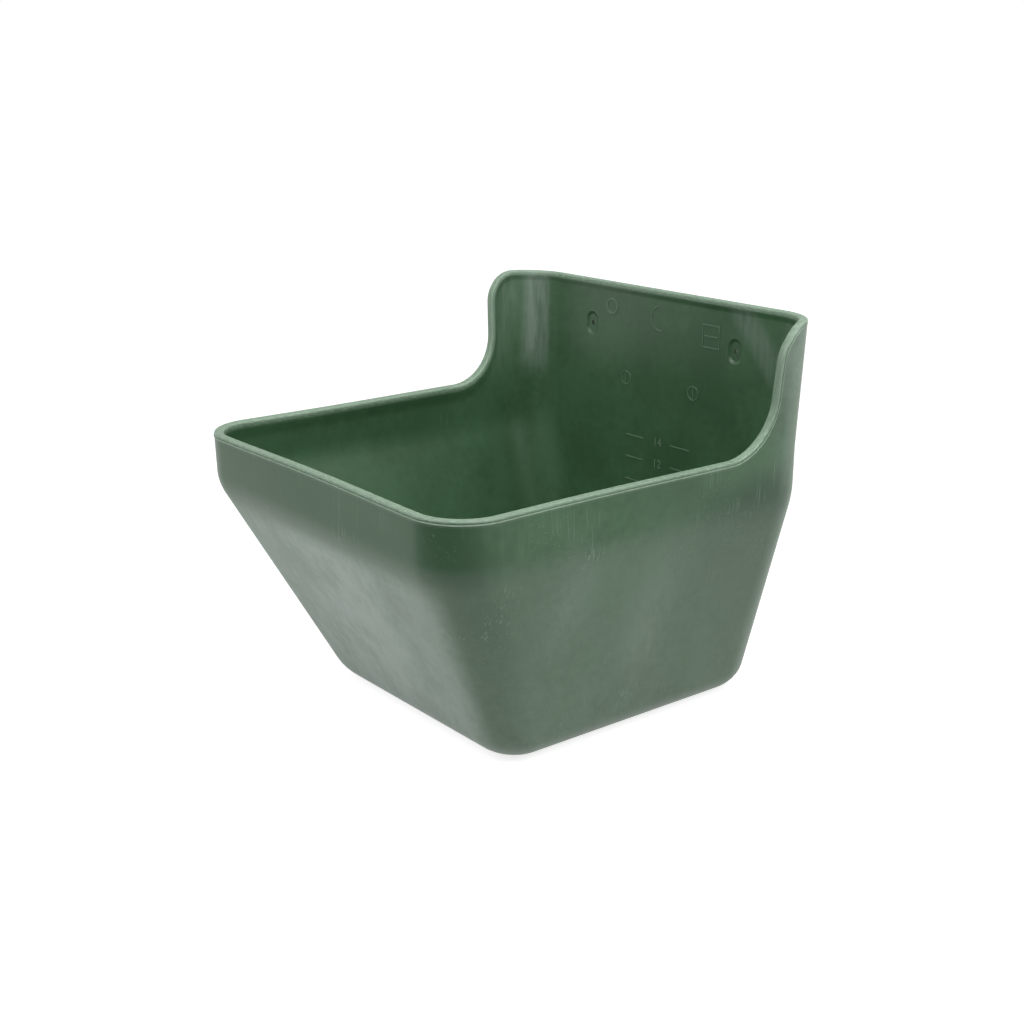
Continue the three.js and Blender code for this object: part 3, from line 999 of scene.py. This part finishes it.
def places_beside_holes(mesh, shape, hole):
    """Across the plate just under the holes: x and the finish's own place there, in order of x"""
    top = shape.tub.back_height - hole.drop - hole.seat_height
    places = []
    for vertex, wrap in zip(mesh.vertices, mesh.attributes["wrap"].data):
        x, y, height = vertex.co
        if y > shape.inner_back - hole.overrun and 0 < top - height < hole.seat_height:
            places.append((x, wrap.vector.x, wrap.vector.y))
    return sorted(places)


def place_at(places, x):
    """The finish's own place at x, between the two nearest of the places"""
    after = max(1, min(bisect(places, (x,)), len(places) - 1))
    low, high = places[after - 1], places[after]
    share = (x - low[0]) / (high[0] - low[0]) if high[0] > low[0] else 0.0
    return mix(low[1], high[1], share), mix(low[2], high[2], share)


def tag_hole_edges(mesh, skin, hole):
    """New vertices round the holes belong to the inner wall, and the seat's rim is a little worn"""
    shape = skin.shape
    z = shape.tub.back_height - hole.drop
    reach = hole.seat_height * HOLE_REACH_SHARE
    seat_rim = shape.inner_back + hole.overrun * SEAT_RIM_SHARE
    outer_face = shape.back_face - shape.tub.wall * OUTER_FACE_SHARE
    backwards = Vector((0.0, 1.0, 0.0))
    inside = mesh.attributes["inside"].data
    haze = mesh.attributes["haze"].data
    worn = mesh.attributes["edge_wear_and_highlight"].data
    wrap = mesh.attributes["wrap"].data
    places = places_beside_holes(mesh, shape, hole)
    for vertex in mesh.vertices:
        x, y, height = vertex.co
        away = math.hypot(abs(x) - hole.spacing / 2, height - z)
        if y < shape.inner_back - hole.overrun or away > reach:
            continue
        inside[vertex.index].value = 1.0 if y < outer_face else 0.0
        haze[vertex.index].value = skin.tone.haze_at(vertex.co, backwards, inside[vertex.index].value)
        worn[vertex.index].value = SEAT_RIM_WORN if y < seat_rim else 0.0
        wrap[vertex.index].vector = (*place_at(places, x), height)


class FinishNodes:
    """Short words for the nodes of a finish"""

    def __init__(self, tree):
        self.nodes = tree.nodes
        self.links = tree.links

    def add(self, kind, inputs, **settings):
        node = self.nodes.new(kind)
        for name, value in settings.items():
            setattr(node, name, value)
        for name, value in inputs.items():
            socket = node.inputs[name]
            if isinstance(value, bpy.types.NodeSocket):
                self.links.new(value, socket)
            else:
                socket.default_value = value
        return node

    def attribute(self, name, output="Fac"):
        return self.add("ShaderNodeAttribute", {}, attribute_name=name).outputs[output]

    def object_place(self):
        return self.add("ShaderNodeTexCoord", {}).outputs["Object"]

    def noise(self, vector, noise):
        inputs = {
            "Vector": vector, "Scale": noise.scale, "Detail": noise.detail, "Roughness": noise.roughness,
            "Distortion": noise.distortion,
        }
        return self.add("ShaderNodeTexNoise", inputs).outputs[0]

    def pattern(self, vector, pattern):
        """Noise cut off at a low and a high value, and spread from its least value to 1"""
        return self.ramp(self.noise(vector, pattern.noise), pattern.low, pattern.high, pattern.least)

    def vectors(self, operation, a, b, output="Vector"):
        return self.add("ShaderNodeVectorMath", {0: a, 1: b}, operation=operation).outputs[output]

    def turned(self, vector, rotation, scale=(1.0, 1.0, 1.0)):
        inputs = {"Vector": vector, "Rotation": rotation, "Scale": scale}
        return self.add("ShaderNodeMapping", inputs).outputs[0]

    def maths(self, operation, a, b):
        return self.add("ShaderNodeMath", {0: a, 1: b}, operation=operation).outputs[0]

    def size_of(self, value):
        return self.add("ShaderNodeMath", {0: value}, operation="ABSOLUTE").outputs[0]

    def times(self, *values):
        product = values[0]
        for value in values[1:]:
            product = self.maths("MULTIPLY", product, value)
        return product

    def plus(self, *values):
        total = values[0]
        for value in values[1:]:
            total = self.maths("ADD", total, value)
        return total

    def ramp(self, value, low, high, to_low=0.0, to_high=1.0):
        inputs = {0: value, 1: low, 2: high, 3: to_low, 4: to_high}
        return self.add("ShaderNodeMapRange", inputs, interpolation_type="SMOOTHSTEP").outputs[0]

    def blend(self, share, a, b):
        return self.add("ShaderNodeMix", {0: share, 6: a, 7: b}, data_type="RGBA").outputs[2]


def colour(vector):
    return (*vector, 1.0)


class WornPolypropylene(FinishNodes):
    """Satin dark green polypropylene: cloudy colour, drawn streaks, scratches, dust film mixed with painted
    sheen and painted light, painted shade, and a scuffed rim with painted highlights on its edges
    """

    clouds = Noise(12.0, 4.0, 0.55)
    mottle = Noise(130.0, 3.0, 0.6)
    film_clouds = Noise(22.0, 4.0, 0.62)
    waves = Noise(30.0, 1.0, 0.5)
    grain = Noise(1500.0, 2.0, 0.5)
    drawn_lines = Pattern(Noise(170.0, 3.0, 0.6), 0.50, 0.74)
    drawn_patches = Pattern(Noise(17.0, 2.0, 0.5), 0.50, 0.66)
    slant_lines = Pattern(Noise(420.0, 1.0, 0.5, 0.2), 0.655, 0.70)
    steep_lines = Pattern(Noise(520.0, 1.0, 0.5, 0.1), 0.645, 0.69)
    scratched_patches = Pattern(Noise(19.0, 2.0, 0.6), 0.54, 0.70)
    specks = Pattern(Noise(620.0, 2.0, 0.65), 0.60, 0.70)
    speckled_patches = Pattern(Noise(21.0, 3.0, 0.6), 0.52, 0.66)
    wiped_lines = Pattern(Noise(190.0, 3.0, 0.6), 0.36, 0.64)
    rim_lines = Pattern(Noise(1600.0, 3.0, 0.6), 0.38, 0.66)
    edge_patches = Pattern(Noise(60.0, 4.0, 0.6), 0.25, 0.60, 0.45)

    drawn_stretch = (1.0, 1.0, 0.07)
    slant_turn = (0.42, 0.30, 0.0)
    slant_stretch = (1.0, 1.0, 0.035)
    steep_turn = (-0.10, -0.06, 0.0)
    steep_stretch = (1.0, 1.0, 0.02)
    wiped_turn = (0.0, 0.72, 0.0)
    wiped_stretch = (1.0, 1.0, 0.12)
    rim_stretch = (0.16, 0.16, 0.16)
    smears = (
        Smear((0.108, 0.167, 0.282), 0.72, 0.016, 0.046, 0.16),
        Smear((-0.149, 0.158, 0.285), 0.0, 0.013, 0.075, 0.30),
        Smear((-0.170, 0.128, 0.262), 0.0, 0.010, 0.055, 0.14),
    )
    smear_core_share = 0.3
    smear_end_share = 0.5
    smear_depths = (0.03, 0.05)

    cloud_share = 0.7
    cloud_range = (0.36, 0.64)
    film_cloud_share = 0.75
    film_cloud_range = (0.34, 0.62)
    least_film = 0.55
    film_strength = 0.72
    wiped_share = 0.6
    inner_calm = 0.75
    streak_strength = 0.07
    scratch_strength = 0.26
    scuff_strength = 0.20
    rim_strength = 0.95
    rim_bruise = 0.35
    rim_line_bruise = 0.5
    edge_strength = 0.62

    cloud_mean = 0.5
    cloud_roughness = 0.12
    film_roughness = 0.30
    scratch_roughness = 0.25
    rim_roughness = 0.05
    wave_height = 0.00022
    grain_height = 0.000010
    scratch_height = -0.00002
    rim_line_height = 0.00003
    refraction = 1.50

    def __init__(self, tree, finish):
        super().__init__(tree)
        self.finish = finish
        self.place = self.object_place()
        self.wrap = self.attribute("wrap", "Vector")
        self.inside = self.attribute("inside")
        self.lip = self.attribute("lip")
        self.cloud = self.noise(self.wrap, self.clouds)
        self.mottling = self.noise(self.wrap, self.mottle)
        self.outside = self.maths("SUBTRACT", 1.0, self.times(self.inside, self.inner_calm))
        self.rim_line = self.pattern(self.along_rim(), self.rim_lines)

    def along_rim(self):
        """Place on the rim at which lines along it come out long and narrow"""
        across = self.add("ShaderNodeCombineXYZ", {2: self.attribute("across")}).outputs[0]
        return self.vectors("ADD", self.vectors("MULTIPLY", self.wrap, self.rim_stretch), across)

    def mottled(self, clouds, share):
        return self.plus(self.times(clouds, share), self.times(self.mottling, 1 - share))

    def green(self):
        """The plastic's colour: cloudy, and darkened as painted shade where the attribute deep says so"""
        cloudy = self.ramp(self.mottled(self.cloud, self.cloud_share), *self.cloud_range)
        base = self.blend(cloudy, colour(self.finish.dark_green), colour(self.finish.light_green))
        # Painted shade: darkens the colour towards the deep green by the attribute deep
        deep = self.times(self.attribute("deep"), self.finish.corner_depth)
        return self.blend(deep, base, colour(self.finish.deep_green))

    def streaks(self):
        """Pale upright lines, drawn in the wall as it left its mould"""
        upright = self.vectors("MULTIPLY", self.wrap, self.drawn_stretch)
        lines = self.pattern(upright, self.drawn_lines)
        patches = self.pattern(self.wrap, self.drawn_patches)
        return self.times(lines, patches, self.outside, self.streak_strength * self.finish.wear)

    def scratches(self):
        slanted = self.turned(self.place, self.slant_turn, self.slant_stretch)
        steep = self.turned(self.place, self.steep_turn, self.steep_stretch)
        lines = self.maths(
            "MAXIMUM", self.pattern(slanted, self.slant_lines), self.pattern(steep, self.steep_lines))
        patches = self.pattern(self.place, self.scratched_patches)
        return self.times(lines, patches, self.outside, self.scratch_strength * self.finish.wear)

    def scuffs(self):
        """Small pale specks in patches"""
        specks = self.pattern(self.place, self.specks)
        patches = self.pattern(self.place, self.speckled_patches)
        return self.times(specks, patches, self.outside, self.scuff_strength * self.finish.wear)

    def smeared(self, smear):
        """Soft long patch round a point, none past its borders. Its lean turns it about Y"""
        offset = self.vectors("SUBTRACT", self.place, smear.centre)
        turned = self.turned(offset, (0.0, smear.lean, 0.0))
        axes = self.add("ShaderNodeSeparateXYZ", {0: turned}).outputs
        across, deep, along = (self.size_of(axis) for axis in axes)
        patch = self.times(
            self.ramp(across, smear.half_width * self.smear_core_share, smear.half_width, 1.0, 0.0),
            self.ramp(along, smear.half_length * self.smear_end_share, smear.half_length, 1.0, 0.0),
            self.ramp(deep, *self.smear_depths, 1.0, 0.0))
        return self.times(patch, smear.strength)

    def film(self):
        """Pale film of dust, painted sheen and painted light: cloudy on the wall by the attribute haze, and
        smeared on the inner face
        """
        clouds = self.mottled(self.noise(self.wrap, self.film_clouds), self.film_cloud_share)
        cloudy = self.ramp(clouds, *self.film_cloud_range, self.least_film)
        wiped = self.pattern(self.turned(self.place, self.wiped_turn, self.wiped_stretch), self.wiped_lines)
        smears = self.plus(*[self.smeared(smear) for smear in self.smears])
        lines = self.plus(1 - self.wiped_share, self.times(wiped, self.wiped_share))
        # Dust film together with painted sheen and painted light, by the attribute haze
        dust_and_sheen_share = self.times(self.attribute("haze"), cloudy, self.film_strength)
        return self.plus(dust_and_sheen_share, self.times(smears, self.inside, lines))

    def rim_wear(self):
        lines = self.plus(self.rim_bruise, self.times(self.rim_line, self.rim_line_bruise))
        return self.times(self.lip, lines, self.rim_strength * self.finish.wear)

    def edge_wear(self):
        # Wear and painted highlights on the rim's roundings and the seam's ridge, by the attribute
        # edge_wear_and_highlight
        patches = self.pattern(self.wrap, self.edge_patches)
        return self.times(self.attribute("edge_wear_and_highlight"), patches, self.edge_strength)

    def height(self, scratches):
        """Slow waves of the wall, fine grain, sunk scratches and raised lines along the rim, in metres"""
        return self.plus(
            self.times(self.noise(self.wrap, self.waves), self.wave_height),
            self.times(self.noise(self.place, self.grain), self.grain_height),
            self.times(scratches, self.scratch_height),
            self.times(self.rim_line, self.lip, self.rim_line_height))

    def surface(self):
        finish = self.finish
        film = self.film()
        scratches = self.scratches()
        # The pale film lays dust, painted sheen and painted light over the green
        tone = self.blend(film, self.green(), colour(finish.film))
        for bruised in (self.streaks(), self.scuffs(), scratches, self.rim_wear(), self.edge_wear()):
            tone = self.blend(bruised, tone, colour(finish.bruise))
        roughness = self.plus(
            finish.roughness,
            self.times(self.maths("SUBTRACT", self.cloud, self.cloud_mean), self.cloud_roughness),
            self.times(film, self.film_roughness),
            self.times(scratches, self.scratch_roughness),
            self.times(self.lip, self.rim_roughness))
        bump = self.add(
            "ShaderNodeBump", {"Height": self.height(scratches), "Distance": 1.0, "Strength": 1.0})
        shader = self.add("ShaderNodeBsdfPrincipled", {
            "Base Color": tone, "Roughness": roughness, "Normal": bump.outputs[0], "IOR": self.refraction,
        })
        self.add("ShaderNodeOutputMaterial", {"Surface": shader.outputs[0]})


def plastic():
    """The finish of all pieces, made when the first of them asks for it"""
    found = bpy.data.materials.get("worn_polypropylene")
    if found:
        return found
    material = bpy.data.materials.new("worn_polypropylene")
    material.use_nodes = True
    material.node_tree.nodes.clear()
    WornPolypropylene(material.node_tree, bpy.context.scene.trough_finish).surface()
    return material


def tub_shape():
    scene = bpy.context.scene
    return TubShape(scene.trough_tub, scene.trough_lip)


class FEEDTROUGH_OT_make_shell(bpy.types.Operator):
    """Makes the skin of the one-piece tub with its rim, wings and screw holes"""

    bl_idname = "feed_trough.make_shell"
    bl_label = "Make the Tub"

    def execute(self, context):
        shape = tub_shape()
        hole = context.scene.trough_hole
        skin = TroughSkin(shape)
        piece = bpy.data.objects.new("trough_shell", skin.mesh("trough_shell"))
        context.scene.collection.objects.link(piece)
        cutters = [hole_cutter(shape, hole, side * hole.spacing / 2) for side in (-1, 1)]
        mesh = cut_holes(piece, cutters)
        tag_hole_edges(mesh, skin, hole)
        bpy.data.objects.remove(piece)
        mesh.name = "trough_shell"
        shell = add_piece(mesh, "trough_shell", plastic())
        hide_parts(CAD_NODE)
        return {"FINISHED"}


def relief_mesh(bands, shape, marks):
    """Raised flat bands on the inner wall. Each band is a list of (outer, inner) points in X and Z, and
    whether it closes on itself"""
    bm = bmesh.new()
    front = shape.inner_back - marks.relief
    back = shape.inner_back + marks.sunk
    bevel = marks.relief / 2
    for pairs, closed in bands:
        sections = []
        for outer, inner in pairs:
            across = (outer - inner).normalized() * bevel
            sections.append([
                bm.verts.new((outer.x, back, outer.y)),
                bm.verts.new((outer.x, front + bevel, outer.y)),
                bm.verts.new((outer.x - across.x, front, outer.y - across.y)),
                bm.verts.new((inner.x + across.x, front, inner.y + across.y)),
                bm.verts.new((inner.x, front + bevel, inner.y)),
                bm.verts.new((inner.x, back, inner.y)),
            ])
        count = len(sections)
        for i in range(count if closed else count - 1):
            here, there = sections[i], sections[(i + 1) % count]
            for k in range(len(here)):
                n = (k + 1) % len(here)
                bm.faces.new((here[k], there[k], there[n], here[n]))
        if not closed:
            bm.faces.new(sections[0])
            bm.faces.new(list(reversed(sections[-1])))
    bmesh.ops.recalc_face_normals(bm, faces=bm.faces)
    mesh = bpy.data.meshes.new("relief")
    bm.to_mesh(mesh)
    bm.free()
    return mesh


def round_pairs(centre, radius, width, angles):
    """Points on the outer and inner edge of a round band, at each of the angles"""
    pairs = []
    for angle in angles:
        direction = Vector((math.cos(angle), math.sin(angle)))
        pairs.append((centre + direction * radius, centre + direction * (radius - width)))
    return pairs


def circle_band(centre, radius, width, steps=48):
    angles = [2 * math.pi * i / steps for i in range(steps)]
    return round_pairs(centre, radius, width, angles), True


def arc_band(centre, radius, width, start, end, steps=24):
    angles = [mix(start, end, i / steps) for i in range(steps + 1)]
    return round_pairs(centre, radius, width, angles), False


def straight_band(start, end, width):
    along = (end - start).normalized()
    across = Vector((-along.y, along.x)) * width / 2
    return [(start + across, start - across), (end + across, end - across)], False


class FEEDTROUGH_OT_make_scale(bpy.types.Operator):
    """Makes the litre numbers and the scale lines on the inner face of the back plate"""

    bl_idname = "feed_trough.make_scale"
    bl_label = "Make the Litre Scale"

    digit_share = 0.73
    curve_steps = 6

    def execute(self, context):
        shape = tub_shape()
        marks = context.scene.trough_marks
        finish = context.scene.trough_finish
        bands = []
        for litres, z in shape.litre_heights(marks.litre_last, marks.litre_step):
            for side in (-1, 1):
                start = Vector((side * marks.line_start, z))
                end = Vector((side * (marks.line_start + marks.line_length), z))
                bands.append(straight_band(start, end, marks.line_width))
            mesh = self.number(context, litres, z, shape, marks)
            tag_relief(mesh, finish.number_wear)
            add_piece(mesh, f"litre_number_{litres}", plastic())
        mesh = relief_mesh(bands, shape, marks)
        tag_relief(mesh, finish.line_wear)
        add_piece(mesh, "scale_lines", plastic())
        return {"FINISHED"}

    def number(self, context, litres, z, shape, marks):
        """Mesh of one litre number, standing out of the wall at height z"""
        text = bpy.data.curves.new("litre_number", "FONT")
        text.body = str(litres)
        text.align_x = "CENTER"
        text.align_y = "CENTER"
        text.size = marks.number_height / self.digit_share
        text.extrude = (marks.relief + marks.sunk) / 2
        text.resolution_u = self.curve_steps
        holder = bpy.data.objects.new("litre_number", text)
        context.scene.collection.objects.link(holder)
        graph = context.evaluated_depsgraph_get()
        mesh = bpy.data.meshes.new_from_object(holder.evaluated_get(graph))
        bpy.data.objects.remove(holder)
        middle = shape.inner_back + (marks.sunk - marks.relief) / 2
        for vertex in mesh.vertices:
            x, y, depth = vertex.co
            vertex.co = (x + marks.number_side, middle - depth, y + z)
        mesh.update()
        mesh.materials.clear()
        return mesh


class FEEDTROUGH_OT_make_marks(bpy.types.Operator):
    """Makes the barred and plain rings, the bare arc and the bare frame in low relief on the back plate"""

    bl_idname = "feed_trough.make_marks"
    bl_label = "Make the Moulded Marks"

    def execute(self, context):
        shape = tub_shape()
        marks = context.scene.trough_marks
        bands = []
        for side in (-1, 1):
            centre = Vector((side * marks.ring_side, marks.ring_height))
            bands.append(circle_band(centre, marks.ring_radius, marks.ring_width))
            bar = Vector((0.0, marks.ring_radius - marks.ring_width))
            bands.append(straight_band(centre - bar, centre + bar, marks.ring_width))
        bands.append(circle_band(Vector(marks.dimple_place), marks.dimple_radius, marks.dimple_width))
        bands.append(arc_band(
            Vector(marks.arc_place), marks.arc_radius, marks.ring_width, marks.arc_start, marks.arc_end))
        bands += self.frame(Vector(marks.frame_place), marks)
        mesh = relief_mesh(bands, shape, marks)
        tag_relief(mesh, context.scene.trough_finish.mark_wear)
        add_piece(mesh, "plate_marks", plastic())
        return {"FINISHED"}

    def frame(self, centre, marks):
        """A bare square frame with one bar across its middle"""
        half = marks.frame_size / 2
        corners = [centre + Vector((x, z)) * half for x, z in ((-1, -1), (1, -1), (1, 1), (-1, 1))]
        inset = 1 - marks.ring_width / half
        pairs = [(corner, centre + (corner - centre) * inset) for corner in corners]
        bar = Vector((half - marks.ring_width * 2, 0.0))
        return [(pairs, True), straight_band(centre - bar, centre + bar, marks.ring_width)]


class FEEDTROUGH_OT_make_stage(bpy.types.Operator):
    """Makes the floor, the white surroundings, the lamps and the camera"""

    bl_idname = "feed_trough.make_stage"
    bl_label = "Make the Stage"

    overhead_place = (0.0, 0.10, 1.7)
    overhead_target = (0.0, 0.0, 0.1)
    overhead_size = 1.5
    side_target = (0.0, 0.0, 0.15)
    side_size = 0.8
    sensor_width = 36.0
    dim_facing = 0.9
    dimmed = 0.40

    def execute(self, context):
        stage = context.scene.trough_stage
        self.floor(context, stage)
        self.surroundings(context, stage)
        self.lamps(context, stage)
        self.camera(context, stage)
        context.scene.view_settings.view_transform = "Standard"
        return {"FINISHED"}

    def toward_camera(self, stage):
        """Level direction from the trough to the camera"""
        return Vector((math.sin(stage.camera_azimuth), -math.cos(stage.camera_azimuth), 0.0))

    def seen(self, make, path):
        """1 where a ray from the camera, or one mirrored or bent, meets the surroundings"""
        seen = make.maths("MAXIMUM", path["Is Camera Ray"], path["Is Glossy Ray"])
        return make.maths("MAXIMUM", seen, path["Is Transmission Ray"])

    def floor(self, context, stage):
        mesh = bpy.data.meshes.new("floor")
        r = stage.floor_radius
        z = -stage.floor_gap
        mesh.from_pydata([(-r, -r, z), (r, -r, z), (r, r, z), (-r, r, z)], [], [(0, 1, 2, 3)])
        floor = bpy.data.objects.new("floor", mesh)
        context.scene.collection.objects.link(floor)
        mesh.materials.append(self.paper(stage))

    def paper(self, stage):
        """White paper that glows where it is seen, and is darker far off where it is mirrored"""
        material = bpy.data.materials.new("floor_paper")
        material.use_nodes = True
        material.node_tree.nodes.clear()
        make = FinishNodes(material.node_tree)
        path = make.add("ShaderNodeLightPath", {}).outputs
        place = make.object_place()
        away = make.add("ShaderNodeVectorMath", {0: place}, operation="LENGTH").outputs["Value"]
        ahead = make.vectors("DOT_PRODUCT", place, self.toward_camera(stage), "Value")
        beyond = make.times(
            make.ramp(away, stage.mirror_start, stage.mirror_end, 0.0, stage.mirror_dim),
            make.ramp(ahead, 0.0, stage.mirror_start))
        kept = make.maths("SUBTRACT", 1.0, make.times(path["Is Glossy Ray"], beyond))
        far = make.ramp(away, stage.glow_start, stage.glow_end, stage.floor_glow, 1.0)
        tone = make.blend(kept, BLACK, colour(stage.floor_colour))
        matt = make.add("ShaderNodeBsdfDiffuse", {"Color": tone})
        glow = make.add("ShaderNodeEmission", {"Strength": make.times(self.seen(make, path), far, kept)})
        both = make.add("ShaderNodeAddShader", {0: matt.outputs[0], 1: glow.outputs[0]})
        make.add("ShaderNodeOutputMaterial", {"Surface": both.outputs[0]})
        return material

    def surroundings(self, context, stage):
        world = bpy.data.worlds.new("white_room")
        world.use_nodes = True
        world.node_tree.nodes.clear()
        make = FinishNodes(world.node_tree)
        path = make.add("ShaderNodeLightPath", {}).outputs
        direction = make.add("ShaderNodeTexCoord", {}).outputs["Generated"]
        facing = make.vectors("DOT_PRODUCT", direction, self.toward_camera(stage), "Value")
        dim = make.ramp(facing, 0.0, self.dim_facing, 1.0, self.dimmed)
        mirrored = make.maths("MAXIMUM", make.times(dim, stage.mirrored), path["Is Camera Ray"])
        strength = make.maths(
            "MAXIMUM", make.times(self.seen(make, path), mirrored), make.times(dim, stage.ambient))
        light = make.add("ShaderNodeBackground", {"Color": WHITE, "Strength": strength})
        make.add("ShaderNodeOutputWorld", {"Surface": light.outputs[0]})
        context.scene.world = world

    def lamp(self, context, name, place, target, size, power):
        """A square lamp that shines from its place to its target and isn't seen itself"""
        light = bpy.data.lights.new(name, "AREA")
        light.shape = "SQUARE"
        light.size = size
        light.energy = power
        holder = bpy.data.objects.new(name, light)
        holder.location = place
        holder.rotation_euler = (Vector(target) - Vector(place)).to_track_quat("-Z", "Y").to_euler()
        holder.visible_camera = False
        context.scene.collection.objects.link(holder)

    def lamps(self, context, stage):
        self.lamp(
            context, "overhead_lamp", self.overhead_place, self.overhead_target, self.overhead_size,
            stage.overhead_power)
        reach = stage.lamp_distance * math.cos(stage.lamp_elevation)
        height = stage.lamp_distance * math.sin(stage.lamp_elevation)
        for name, power, turn in (("right_lamp", stage.right_power, stage.right_turn),
                                  ("left_lamp", stage.left_power, stage.left_turn)):
            place = (math.sin(turn) * reach, -math.cos(turn) * reach, height)
            self.lamp(context, name, place, self.side_target, self.side_size, power)

    def camera(self, context, stage):
        data = bpy.data.cameras.new("camera")
        data.sensor_width = self.sensor_width
        data.lens = stage.lens
        camera = bpy.data.objects.new("camera", data)
        camera.location = stage.camera_place
        camera.rotation_euler = (QUARTER_TURN - stage.camera_elevation, 0.0, stage.camera_azimuth)
        context.scene.collection.objects.link(camera)
        context.scene.camera = camera


class FEEDTROUGH_PT_panel(bpy.types.Panel):
    """Lists the makers of the trough and its stage"""

    bl_idname = "FEEDTROUGH_PT_panel"
    bl_label = "Feed Trough"
    bl_space_type = "VIEW_3D"
    bl_region_type = "UI"
    bl_category = "Feed Trough"

    def draw(self, context):
        for maker in MAKERS:
            self.layout.operator(maker.bl_idname)


MAKERS = (
    FEEDTROUGH_OT_make_stage,
    FEEDTROUGH_OT_make_shell,
    FEEDTROUGH_OT_make_scale,
    FEEDTROUGH_OT_make_marks,
)
GROUPS = {
    "trough_tub": TubSizes,
    "trough_lip": LipSizes,
    "trough_hole": HoleSizes,
    "trough_marks": MarkSizes,
    "trough_finish": PlasticFinish,
    "trough_stage": StageSetup,
}


def register():
    for name, group in GROUPS.items():
        bpy.utils.register_class(group)
        setattr(bpy.types.Scene, name, PointerProperty(type=group))
    for maker in MAKERS:
        bpy.utils.register_class(maker)
    bpy.utils.register_class(FEEDTROUGH_PT_panel)


def unregister():
    bpy.utils.unregister_class(FEEDTROUGH_PT_panel)
    for maker in reversed(MAKERS):
        bpy.utils.unregister_class(maker)
    for name, group in reversed(GROUPS.items()):
        delattr(bpy.types.Scene, name)
        bpy.utils.unregister_class(group)


def main():
    register()
    bpy.ops.feed_trough.make_stage()
    bpy.ops.feed_trough.make_shell()
    bpy.ops.feed_trough.make_scale()
    bpy.ops.feed_trough.make_marks()


if __name__ == "__main__":
    main()
